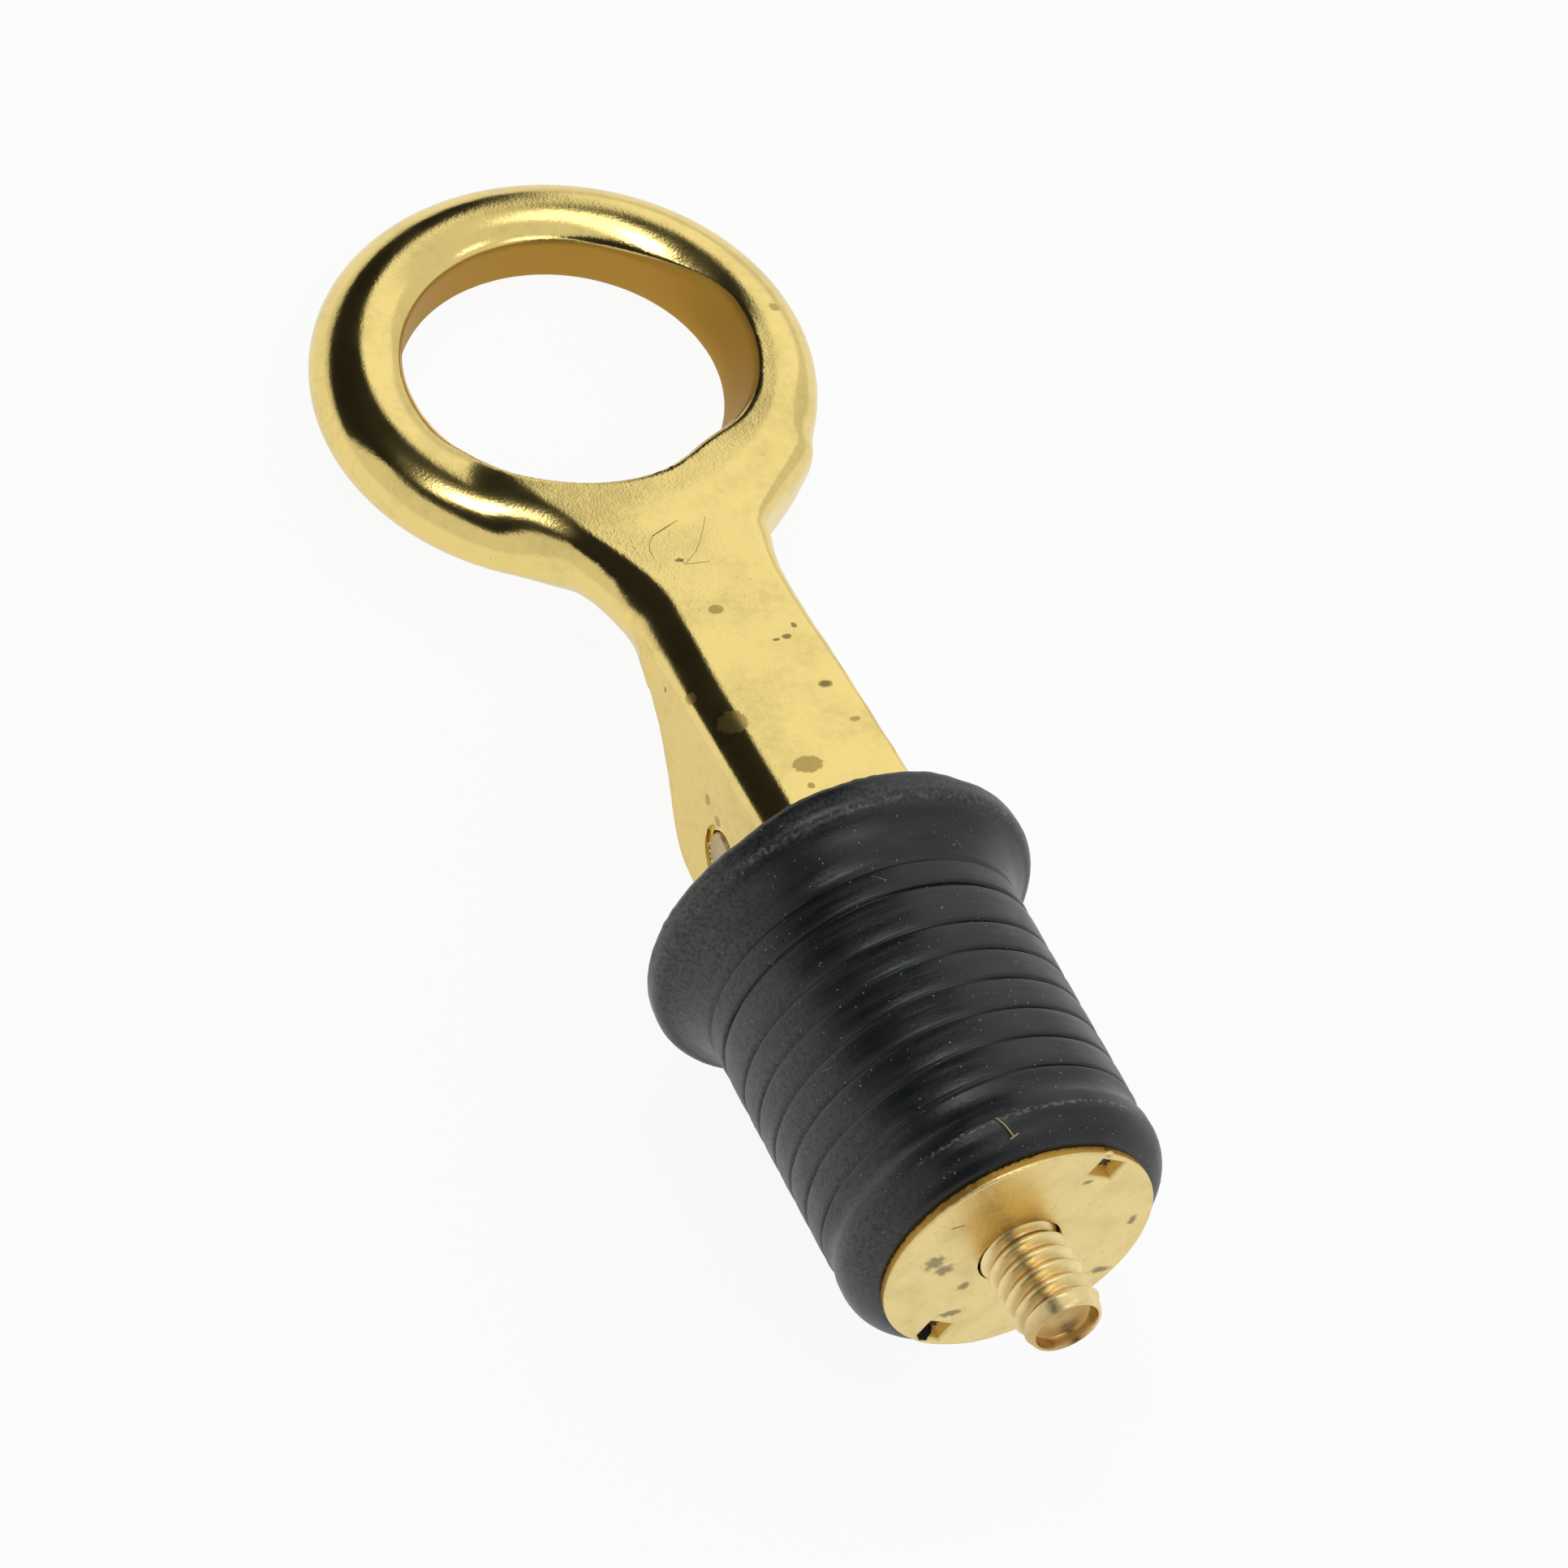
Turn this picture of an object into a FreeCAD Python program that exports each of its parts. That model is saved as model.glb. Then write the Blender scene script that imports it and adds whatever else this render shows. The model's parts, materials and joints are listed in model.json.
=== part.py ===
"""Expanding rubber drain plug for a boat, with a folding ring lever.

The plug is modelled upright about the Z axis: stud end down, finger ring up, lever front
towards +Y. Every piece is then laid down together, front up, so that the rubber flange and
the far end of the ring rest on one plane. All sizes are millimetres.
"""
import FreeCAD
import Part
import os
import re
import Sketcher

doc = FreeCAD.newDocument("drain_plug")

SIZES = {
    # bottom washer
    "washer_radius": 10.46,
    "washer_thick": 0.8,
    "prong_reach": 9.08,
    "prong_bearing": 125.5,
    "prong_turn": 30.5,
    "prong_long": 2.6,
    "prong_short": 2.0,
    "prong_wall": 0.35,
    "prong_rise": 1.15,
    "prong_room": 0.2,
    # stud
    "stud_radius": 3.175,
    "stud_end": 7.1,
    "stud_gap": 0.05,
    "stud_chamfer": 0.3,
    "cup_radius": 2.55,
    "cup_depth": 1.0,
    "cup_rim": 0.2,
    "eye_radius": 4.2,
    "eye_thick": 5.0,
    "neck_half": 3.0,
    "neck_sink": 0.5,
    "eye_lift": 0.3,
    "pin_radius": 1.75,
    "pin_gap": 0.05,
    "pin_length": 12.2,
    "pin_chamfer": 0.25,
    # rubber
    "bore_radius": 3.6,
    "shank_radius": 12.5,
    "end_flat": 11.6,
    "end_round": 2.67,
    "end_height": 2.8,
    "bead_top": 4.2,
    "waist_top": 6.2,
    "waist_bend": 3.0,
    "rim_radius": 15.27,
    "rim_round": 1.2,
    "rubber_top": 32.5,
    "bell_round": 8.45,
    "seat_fillet": 1.0,
    "groove_first": 6.68,
    "groove_pitch": 2.716,
    "groove_count": 6,
    "groove_depth": 0.3,
    "groove_half": 0.38,
    "seat_groove": 23.9,
    # top washer
    "top_radius": 11.9,
    "top_thick": 1.2,
    "recess_depth": 0.8,
    "recess_gap": 0.2,
    "top_bore_gap": 0.25,
    "top_chamfer": 0.2,
    # lever foot and stem
    "pin_height": 40.2,
    "lever_half": 6.2,
    "heel_reach": 5.85,
    "heel_top": 2.9,
    "toe_front": 9.95,
    "stem_front": 8.5,
    "stem_top": 56.0,
    "stem_back": 3.85,
    "heel_bend_y": -3.2,
    "heel_bend_z": 47.7,
    "heel_round": 5.4,
    "back_mid_y": 0.3,
    "back_mid_z": 50.5,
    "back_round": 9.5,
    "front_round": 2.0,
    "slot_width": 5.4,
    "slot_room": 0.5,
    "pin_run": 0.08,
    "wear_radius": 2.2,
    "wear_front": 0.35,
    "wear_up": 0.3,
    "wear_depth": 0.45,
    # ring: a flattened round bar, its plane leaning a little to the front
    "ring_height": 86.43,
    "ring_mid": 5.05,
    "ring_lean": 3.5,
    "ring_inner": 13.02,
    "bar_wide": 7.42,
    "ring_shift": 0.36,
    "bar_half": 3.27,
    # neck sections, placed by their share of the way from the stem to the ring's bar
    "neck_a_share": 0.255,
    "neck_a_half": 6.5,
    "neck_a_back": 4.2,
    "neck_a_front": 8.35,
    "neck_a_round": 1.9,
    "neck_b_share": 0.547,
    "neck_b_half": 7.85,
    "neck_b_back": 3.4,
    "neck_b_front": 8.1,
    "neck_b_round": 2.1,
    "neck_c_share": 0.788,
    "neck_c_half": 9.6,
    "neck_c_back": 2.0,
    "neck_c_front": 7.75,
    "neck_c_round": 2.6,
    "neck_d_share": 0.949,
    "neck_d_half": 10.4,
    "neck_d_back": 1.1,
    "neck_d_front": 7.25,
    "neck_d_round": 3.0,
    "back_edge": 0.6,
    "neck_step": 0.05,
}

sizes = doc.addObject("Spreadsheet::Sheet", "sizes")
for row, (name, value) in enumerate(SIZES.items(), start=1):
    sizes.set("A%d" % row, name.replace("_", " "))
    sizes.set("B%d" % row, str(value))
    sizes.setAlias("B%d" % row, name)
doc.recompute()


def bound(text):
    """Write a formula of size names as one that reads them from the sheet."""
    return re.sub(r"[a-z_]+", lambda m: "sizes." + m.group() if m.group() in SIZES else m.group(), text)


def value_of(text):
    """Number that a formula of size names gives now."""
    result = sizes.evalExpression(bound(text))
    return float(getattr(result, "Value", result))


# Formulas that several pieces share.
SOLE = "(rubber_top - recess_depth + top_thick)"
SINK = "(pin_height - " + SOLE + " - heel_reach)"
RIM_HEIGHT = "(rubber_top - rim_round)"
BELL_CENTRE = "(rim_radius - bell_round)"
FILLET_CENTRE = "(shank_radius + seat_fillet)"
SEAT = (
    "(" + RIM_HEIGHT + " - sqrt((bell_round + seat_fillet)^2 - ("
    + FILLET_CENTRE + " - " + BELL_CENTRE + ")^2))"
)
# The plane it lies on touches the flange's rim and the far end of the ring's back.
BAR_FAR = "(ring_inner + bar_wide - bar_half)"
REST_RUN = (
    "(ring_height + " + BAR_FAR + " * cos(ring_lean * 1 deg) - " + RIM_HEIGHT + ")"
)
REST_RISE = (
    "(rim_radius - rim_round + ring_mid + " + BAR_FAR + " * sin(ring_lean * 1 deg))"
)
REST_SPAN = "sqrt(" + REST_RUN + "^2 + " + REST_RISE + "^2)"
TILT = (
    "(atan2(" + REST_RISE + "; " + REST_RUN + ") - asin((bar_half - rim_round) / "
    + REST_SPAN + "))"
)


def planes(body):
    """Origin planes of a body by role."""
    return {feature.Role: feature for feature in body.Origin.OriginFeatures}


def new_body(name):
    """Empty body that carries one piece of the plug."""
    body = doc.addObject("PartDesign::Body", name)
    body.Label = name
    return body


def new_sketch(body, name, plane, offset=None, turn=None):
    """Sketch on an origin plane, moved by formulas along and turned about its own axes."""
    sketch = body.newObject("Sketcher::SketchObject", name)
    sketch.AttachmentSupport = (planes(body)[plane], [""])
    sketch.MapMode = "FlatFace"
    if turn:
        axis, angle = turn
        sketch.AttachmentOffset = FreeCAD.Placement(
            FreeCAD.Vector(0, 0, 0), FreeCAD.Rotation(axis, value_of(angle))
        )
        sketch.setExpression("AttachmentOffset.Rotation.Angle", bound(angle))
    for letter, text in (offset or {}).items():
        sketch.setExpression("AttachmentOffset.Base." + letter, bound(text))
    return sketch


def hold(sketch, geo, end, along, up):
    """Fix one end of an edge at two formulas measured from the sketch's origin."""
    for kind, text, axis in (("DistanceX", along, -2), ("DistanceY", up, -1)):
        if text == "0":
            sketch.addConstraint(Sketcher.Constraint("PointOnObject", geo, end, axis))
            continue
        index = sketch.addConstraint(
            Sketcher.Constraint(kind, -1, 1, geo, end, value_of(text))
        )
        sketch.setExpression("Constraints[%d]" % index, bound(text))


def draw_outline(sketch, corners):
    """Closed outline of lines and arcs.

    Each corner is (along, up) or (along, up, radius, side): a radius makes the edge that
    leaves the corner an arc, and side is +1 where the arc bulges to the right of its chord
    and -1 where it bulges to the left.
    """
    points = [FreeCAD.Vector(value_of(c[0]), value_of(c[1]), 0) for c in corners]
    edges = []
    for index, corner in enumerate(corners):
        start = points[index]
        finish = points[(index + 1) % len(points)]
        if len(corner) == 2:
            edges.append((sketch.addGeometry(Part.LineSegment(start, finish)), 1, 2))
            continue
        radius = value_of(corner[2])
        chord = finish - start
        middle = (start + finish) * 0.5
        normal = FreeCAD.Vector(chord.y, -chord.x, 0).normalize() * corner[3]
        depth = radius - max(radius**2 - chord.Length**2 / 4, 0) ** 0.5
        arc = Part.Arc(start, middle + normal * depth, finish)
        geo = sketch.addGeometry(arc)
        first = sketch.getPoint(geo, 1)
        flipped = first.distanceToPoint(start) > first.distanceToPoint(finish)
        edges.append((geo, 2, 1) if flipped else (geo, 1, 2))
        held = sketch.addConstraint(Sketcher.Constraint("Radius", geo, radius))
        sketch.setExpression("Constraints[%d]" % held, bound(corner[2]))
    for index, (geo, start, finish) in enumerate(edges):
        following, entry, _ = edges[(index + 1) % len(edges)]
        sketch.addConstraint(Sketcher.Constraint("Coincident", geo, finish, following, entry))
        hold(sketch, geo, start, corners[index][0], corners[index][1])


def draw_circle(sketch, along, up, radius):
    """Circle with its centre and radius held by formulas."""
    centre = FreeCAD.Vector(value_of(along), value_of(up), 0)
    geo = sketch.addGeometry(Part.Circle(centre, FreeCAD.Vector(0, 0, 1), value_of(radius)))
    hold(sketch, geo, 3, along, up)
    index = sketch.addConstraint(Sketcher.Constraint("Radius", geo, value_of(radius)))
    sketch.setExpression("Constraints[%d]" % index, bound(radius))


def add_feature(body, kind, name, sketch, **settings):
    """PartDesign feature from a sketch; text settings are formulas."""
    feature = body.newObject("PartDesign::" + kind, name)
    feature.Profile = sketch
    for key, setting in settings.items():
        if isinstance(setting, str) and key != "Type":
            feature.setExpression(key, bound(setting))
        else:
            setattr(feature, key, setting)
    doc.recompute()
    return feature


def spin(body, kind, name, sketch, axis="V_Axis"):
    """Full turn of a sketch about one of its own axes."""
    feature = body.newObject("PartDesign::" + kind, name)
    feature.Profile = sketch
    feature.ReferenceAxis = (sketch, [axis])
    feature.Angle = 360
    doc.recompute()
    return feature


# Rubber plug: bell flange, ribbed shank and rounded small end, moulded in one.
rubber = new_body("rubber_plug")
MEET = "bell_round / (bell_round + seat_fillet)"
profile = new_sketch(rubber, "rubber_profile", "XZ_Plane")
draw_outline(profile, [
    ("bore_radius", "washer_thick"),
    ("end_flat", "washer_thick", "end_round", 1),
    ("shank_radius", "end_height"),
    ("shank_radius", "bead_top", "waist_bend", -1),
    ("shank_radius", "waist_top"),
    ("shank_radius", SEAT, "seat_fillet", -1),
    (
        BELL_CENTRE + " + (" + FILLET_CENTRE + " - " + BELL_CENTRE + ") * " + MEET,
        RIM_HEIGHT + " + (" + SEAT + " - " + RIM_HEIGHT + ") * " + MEET,
        "bell_round", 1,
    ),
    ("rim_radius", RIM_HEIGHT, "rim_round", 1),
    ("rim_radius - rim_round", "rubber_top"),
    ("top_radius + recess_gap", "rubber_top"),
    ("top_radius + recess_gap", "rubber_top - recess_depth"),
    ("bore_radius", "rubber_top - recess_depth"),
])
spin(rubber, "Revolution", "rubber_moulding", profile)


def groove_section(name, height):
    """V cut of a mould line round the shank at a height."""
    cut = new_sketch(rubber, name, "XZ_Plane")
    draw_outline(cut, [
        ("shank_radius - groove_depth", height),
        ("shank_radius + groove_depth", height + " - 2 * groove_half"),
        ("shank_radius + groove_depth", height + " + 2 * groove_half"),
    ])
    return cut


spin(rubber, "Groove", "seat_line", groove_section("seat_section", "seat_groove"))
line = spin(rubber, "Groove", "shank_line", groove_section("line_section", "groove_first"))
lines = rubber.newObject("PartDesign::LinearPattern", "shank_lines")
lines.Originals = [line]
lines.Direction = (line.Profile[0], ["V_Axis"])
lines.setExpression("Length", bound("groove_pitch * (groove_count - 1)"))
lines.setExpression("Occurrences", bound("groove_count"))
rubber.Tip = lines
doc.recompute()

PRONG_PLACE = {
    "x": "prong_reach * cos(prong_bearing * 1 deg)",
    "y": "prong_reach * sin(prong_bearing * 1 deg)",
}
UP = FreeCAD.Vector(0, 0, 1)


def rectangle(sketch, half_along, half_up):
    """Rectangle centred on the sketch's origin."""
    draw_outline(sketch, [
        ("-(" + half_along + ")", "-(" + half_up + ")"),
        (half_along, "-(" + half_up + ")"),
        (half_along, half_up),
        ("-(" + half_along + ")", half_up),
    ])


def turned_pair(body, name, originals):
    """Second copy of features half a turn round the plug's axis."""
    pair = body.newObject("PartDesign::PolarPattern", name)
    pair.Originals = originals
    pair.Angle = 360
    pair.Occurrences = 2
    pair.Axis = (planes(body)["Z_Axis"], [""])
    body.Tip = pair
    doc.recompute()
    return pair


bite = new_sketch(
    rubber, "prong_bite", "XY_Plane",
    offset=dict(PRONG_PLACE, z="washer_thick"), turn=(UP, "prong_turn"),
)
rectangle(
    bite, "prong_long / 2 + prong_wall + prong_room", "prong_short / 2 + prong_wall + prong_room"
)
bite_cut = add_feature(
    rubber, "Pocket", "prong_bites", bite, Reversed=True, Length="prong_rise + prong_room"
)
turned_pair(rubber, "prong_bite_pair", [bite_cut])


# Bottom washer: threaded on the stud, with two lanced holes whose lips grip the rubber.
washer = new_body("bottom_washer")
disc = new_sketch(washer, "washer_disc", "XY_Plane")
draw_circle(disc, "0", "0", "washer_radius")
draw_circle(disc, "0", "0", "stud_radius + stud_gap")
add_feature(washer, "Pad", "washer_plate", disc, Length="washer_thick")


def lip(name, plane, along, across, turn, place):
    """Triangular lips on two opposite sides of the lanced hole, as one prism."""
    section = new_sketch(washer, name + "_section", plane, offset=place, turn=turn)
    draw_outline(section, [
        ("-" + along + " / 2", "-washer_thick / 2"),
        (along + " / 2", "-washer_thick / 2"),
        ("0", "prong_rise * " + across + " / prong_long"),
    ])
    return add_feature(
        washer, "Pad", name, section, Midplane=True, Length=across + " + 2 * prong_wall"
    )


long_lips = lip(
    "long_lips", "XZ_Plane", "prong_long", "prong_short",
    (FreeCAD.Vector(0, 1, 0), "prong_turn"),
    {"x": PRONG_PLACE["x"], "y": "washer_thick", "z": "-(" + PRONG_PLACE["y"] + ")"},
)
short_lips = lip(
    "short_lips", "YZ_Plane", "prong_short", "prong_long",
    (FreeCAD.Vector(0, 1, 0), "prong_turn"),
    {"x": PRONG_PLACE["y"], "y": "washer_thick", "z": PRONG_PLACE["x"]},
)
lance = new_sketch(washer, "lance", "XY_Plane", offset=PRONG_PLACE, turn=(UP, "prong_turn"))
rectangle(lance, "prong_long / 2", "prong_short / 2")
lance_cut = add_feature(
    washer, "Pocket", "lance_cut", lance, Reversed=True, Length="washer_thick + 2 * prong_rise"
)
turned_pair(washer, "lance_pair", [long_lips, short_lips, lance_cut])


# Top washer: spreads the cam foot's push, sunk in the flange.
top_washer = new_body("top_washer")
ring_plate = new_sketch(
    top_washer, "top_disc", "XY_Plane", offset={"z": "rubber_top - recess_depth"}
)
draw_circle(ring_plate, "0", "0", "top_radius")
draw_circle(ring_plate, "0", "0", "stud_radius + top_bore_gap")
add_feature(top_washer, "Pad", "top_plate", ring_plate, Length="top_thick")


def chamfer_edges(body, name, base, edges, size):
    """Chamfer on named edges of a feature."""
    bevel = body.newObject("PartDesign::Chamfer", name)
    bevel.Base = (base, edges)
    bevel.setExpression("Size", bound(size))
    body.Tip = bevel
    doc.recompute()
    return bevel


def edges_where(feature, test):
    """Names of a feature's edges whose shape passes a test."""
    shape = feature.Shape
    return ["Edge%d" % (i + 1) for i, edge in enumerate(shape.Edges) if test(edge)]


chamfer_edges(
    top_washer, "top_bevel", top_washer.Tip,
    edges_where(top_washer.Tip, lambda e: e.BoundBox.XLength > value_of("top_radius")),
    "top_chamfer",
)


# Threaded stud: plain at the thread's outer size, cupped at the free end, flat eye on top.
stud = new_body("threaded_stud")
EYE_BASE = "(" + SOLE + " + " + SINK + " + eye_lift)"
shaft = new_sketch(stud, "shaft_profile", "XZ_Plane")
draw_outline(shaft, [
    ("0", "cup_depth - stud_end"),
    ("cup_radius", "cup_rim - stud_end"),
    ("cup_radius", "-stud_end"),
    ("stud_radius - stud_chamfer", "-stud_end"),
    ("stud_radius", "stud_chamfer - stud_end"),
    ("stud_radius", EYE_BASE + " + neck_sink"),
    ("0", EYE_BASE + " + neck_sink"),
])
spin(stud, "Revolution", "shaft", shaft)
flats = new_sketch(stud, "flats", "XZ_Plane")
for side_sign in ("", "-"):
    inner = side_sign + "eye_thick / 2"
    outer = side_sign + "(stud_radius + 1)"
    draw_outline(flats, [
        (inner, SOLE + " - neck_sink"),
        (outer, SOLE + " - neck_sink"),
        (outer, EYE_BASE + " + 2 * neck_sink"),
        (inner, EYE_BASE + " + 2 * neck_sink"),
    ])
add_feature(stud, "Pocket", "shaft_flats", flats, Midplane=True, Length="4 * stud_radius")
eye = new_sketch(stud, "eye_outline", "YZ_Plane")
EYE_FOOT = "(pin_height - sqrt(eye_radius^2 - neck_half^2))"
draw_outline(eye, [
    ("-neck_half", EYE_BASE),
    ("neck_half", EYE_BASE),
    ("neck_half", EYE_FOOT, "eye_radius", 1),
    ("0", "pin_height + eye_radius", "eye_radius", 1),
    ("-neck_half", EYE_FOOT),
])
add_feature(stud, "Pad", "eye", eye, Midplane=True, Length="eye_thick")
eye_hole = new_sketch(stud, "eye_hole", "YZ_Plane")
draw_circle(eye_hole, "0", "pin_height", "pin_radius + pin_gap")
add_feature(stud, "Pocket", "eye_bore", eye_hole, Midplane=True, Length="2 * eye_thick")


# Pivot pin: plain brass pin through the foot and the eye, its ends just under flush.
pin = new_body("pivot_pin")
pin_round = new_sketch(pin, "pin_round", "YZ_Plane")
draw_circle(pin_round, "0", "pin_height", "pin_radius")
pin_pad = add_feature(pin, "Pad", "pin_bar", pin_round, Midplane=True, Length="pin_length")
chamfer_edges(
    pin, "pin_bevel", pin_pad, edges_where(pin_pad, lambda e: e.Closed), "pin_chamfer"
)


# Ring lever: one casting. The foot's outline is the cam that pulls the stud as it turns up.
lever = new_body("ring_lever")
side = new_sketch(lever, "side_outline", "YZ_Plane")
CAM_Y = "(0.65 * " + SINK + ")"
CAM_Z = "(pin_height - 0.35 * " + SINK + ")"
draw_outline(side, [
    (CAM_Y, SOLE),
    ("toe_front", SOLE),
    ("stem_front", "stem_top"),
    ("stem_back", "stem_top", "back_round", -1),
    ("back_mid_y", "back_mid_z"),
    ("heel_bend_y", "heel_bend_z", "heel_round", 1),
    ("-heel_reach", "pin_height + heel_top"),
    ("-heel_reach", CAM_Z, "pin_height - " + SOLE + " - 0.35 * " + SINK, 1),
])
foot = add_feature(lever, "Pad", "foot_and_stem", side, Midplane=True, Length="2 * lever_half")


def front_corner(edge):
    """True for the two long edges where the front face meets the flanks."""
    box = edge.BoundBox
    tall = box.ZLength > value_of("stem_top") - value_of("rubber_top") - 3
    return tall and box.YMin > value_of("stem_front") - 1


rounded = lever.newObject("PartDesign::Fillet", "front_rounding")
rounded.Base = (foot, edges_where(foot, front_corner))
rounded.setExpression("Radius", bound("front_round"))
lever.Tip = rounded
doc.recompute()


def neck_section(name, height, half, back, front, back_round, front_round):
    """Rounded rectangle across the neck at a height; X runs along, Y up."""
    section = new_sketch(lever, name, "XY_Plane", offset={"z": height})
    draw_outline(section, [
        ("-(" + half + " - " + back_round + ")", back),
        (half + " - " + back_round, back, back_round, 1),
        (half, back + " + " + back_round),
        (half, front + " - " + front_round, front_round, 1),
        (half + " - " + front_round, front),
        ("-(" + half + " - " + front_round + ")", front, front_round, 1),
        ("-(" + half + ")", front + " - " + front_round),
        ("-(" + half + ")", back + " + " + back_round, back_round, 1),
    ])
    return section


sections = [neck_section(
    "neck_start", "stem_top", "lever_half - neck_step", "stem_back + neck_step",
    "stem_front - neck_step", "back_edge", "front_round"
)]
NECK_RUN = "(ring_height - ring_inner - bar_wide / 2 - stem_top)"
for letter in "abcd":
    part = "neck_" + letter + "_"
    edge_round = part + "round"
    sections.append(neck_section(
        "neck_section_" + letter, "stem_top + " + part + "share * " + NECK_RUN,
        part + "half", part + "back",
        part + "front", edge_round, edge_round,
    ))
neck = lever.newObject("PartDesign::AdditiveLoft", "neck")
neck.Profile = sections[0]
neck.Sections = sections[1:]
neck.Ruled = False
lever.Tip = neck
doc.recompute()

# The ring's bar is drawn across its far side and spun about the line through its centre.
ring = new_sketch(
    lever, "ring_section", "YZ_Plane",
    offset={"x": "ring_mid", "y": "ring_height", "z": "ring_shift"}, turn=(UP, "-ring_lean"),
)
draw_outline(ring, [
    ("0", "ring_inner", "bar_half", 1),
    ("bar_half", "ring_inner + bar_half"),
    ("bar_half", BAR_FAR, "bar_half", 1),
    ("0", "ring_inner + bar_wide", "bar_half", 1),
    ("-bar_half", BAR_FAR),
    ("-bar_half", "ring_inner + bar_half", "bar_half", 1),
])
spin(lever, "Revolution", "finger_ring", ring, axis="H_Axis")

slot = new_sketch(lever, "eye_slot", "YZ_Plane")
draw_outline(slot, [
    ("-2 * heel_reach", "rubber_top - recess_depth"),
    ("eye_radius + slot_room", "rubber_top - recess_depth"),
    ("eye_radius + slot_room", "pin_height + eye_radius + slot_room"),
    ("-2 * heel_reach", "pin_height + eye_radius + slot_room"),
])
add_feature(lever, "Pocket", "eye_slot_cut", slot, Midplane=True, Length="slot_width")
pin_hole = new_sketch(lever, "pin_hole", "YZ_Plane")
draw_circle(pin_hole, "0", "pin_height", "pin_radius + pin_run")
add_feature(lever, "Pocket", "pin_bore", pin_hole, Midplane=True, Length="3 * lever_half")
worn = new_sketch(lever, "worn_mouth", "YZ_Plane", offset={"z": "lever_half - wear_depth"})
draw_circle(worn, "wear_front", "pin_height + wear_up", "wear_radius")
add_feature(lever, "Pocket", "worn_mouth_cut", worn, Reversed=True, Length="2 * wear_depth")


# Everything is laid down together, front up, about the centre of the flange's seat.
for piece in (rubber, washer, top_washer, stud, pin, lever):
    piece.Placement = FreeCAD.Placement(
        FreeCAD.Vector(0, 0, 0), FreeCAD.Rotation(FreeCAD.Vector(1, 0, 0), 90)
    )
    piece.setExpression("Placement.Rotation.Angle", bound("90 deg + " + TILT))
    piece.setExpression("Placement.Base.y", bound(SEAT + " * cos(" + TILT + ")"))
    piece.setExpression("Placement.Base.z", bound(SEAT + " * sin(" + TILT + ")"))
doc.recompute()

failed = [o.Label for o in doc.Objects if "Invalid" in o.State or "Error" in o.State]
if failed:
    raise RuntimeError("these did not build: " + ", ".join(failed))
pieces = (rubber, washer, top_washer, stud, pin, lever)
for piece in pieces:
    if piece.Shape.isNull() or not piece.Shape.isValid():
        raise RuntimeError(piece.Label + " has no valid shape")
os.makedirs("parts", exist_ok=True)
for piece in pieces:
    piece.Shape.exportStep("parts/" + piece.Label + ".step")
    print(piece.Label, round(piece.Shape.Volume, 1), len(piece.Shape.Faces), piece.Shape.BoundBox)
print("tilt", round(value_of(TILT), 3), "seat", round(value_of(SEAT), 3), "sink", value_of(SINK))
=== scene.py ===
"""Visual model of an expanding rubber drain plug for a boat, dressed over its solids.

Shapes are worked out in the plug's own frame, in millimetres: Z runs up the plug's axis from
the bottom washer's outer face, Y points to the front of the lever and X to the left flank.
`Lay` carries every point into the frame in which the plug lies on the floor, in metres.
"""
from __future__ import annotations

import json
import logging
import math
from dataclasses import dataclass, field
from enum import Enum
from typing import Callable, Sequence

import bpy
import numpy as np
from bpy.types import Material, Node, NodeSocket, NodeTree, Object
from mathutils import Matrix, Vector

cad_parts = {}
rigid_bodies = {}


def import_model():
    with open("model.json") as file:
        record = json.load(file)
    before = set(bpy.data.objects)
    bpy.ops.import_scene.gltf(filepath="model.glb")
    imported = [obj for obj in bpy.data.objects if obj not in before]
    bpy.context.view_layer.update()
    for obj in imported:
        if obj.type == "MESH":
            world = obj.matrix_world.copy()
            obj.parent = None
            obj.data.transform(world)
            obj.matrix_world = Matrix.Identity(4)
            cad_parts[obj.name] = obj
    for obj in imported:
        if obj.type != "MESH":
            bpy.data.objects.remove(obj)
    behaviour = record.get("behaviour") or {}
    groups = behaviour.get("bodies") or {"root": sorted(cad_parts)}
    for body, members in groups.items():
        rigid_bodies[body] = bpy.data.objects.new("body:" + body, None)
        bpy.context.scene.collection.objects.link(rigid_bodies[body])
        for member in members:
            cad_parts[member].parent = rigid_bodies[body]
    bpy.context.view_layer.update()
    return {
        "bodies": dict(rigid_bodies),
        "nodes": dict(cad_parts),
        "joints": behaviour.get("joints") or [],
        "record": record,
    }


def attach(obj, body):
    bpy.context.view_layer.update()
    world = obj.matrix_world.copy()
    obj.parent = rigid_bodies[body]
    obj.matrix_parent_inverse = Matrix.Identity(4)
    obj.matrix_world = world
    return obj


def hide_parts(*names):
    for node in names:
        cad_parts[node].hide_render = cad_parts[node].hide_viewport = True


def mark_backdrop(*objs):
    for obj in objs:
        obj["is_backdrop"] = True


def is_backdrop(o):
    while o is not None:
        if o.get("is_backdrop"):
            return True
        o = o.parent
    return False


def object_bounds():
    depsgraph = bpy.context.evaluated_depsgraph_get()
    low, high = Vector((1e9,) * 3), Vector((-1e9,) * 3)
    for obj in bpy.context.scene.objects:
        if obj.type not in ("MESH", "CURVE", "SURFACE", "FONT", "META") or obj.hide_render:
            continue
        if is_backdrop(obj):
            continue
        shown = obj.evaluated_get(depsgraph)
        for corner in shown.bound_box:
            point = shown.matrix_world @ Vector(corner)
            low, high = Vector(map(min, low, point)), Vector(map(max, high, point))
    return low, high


log = logging.getLogger("drain_plug")


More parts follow.
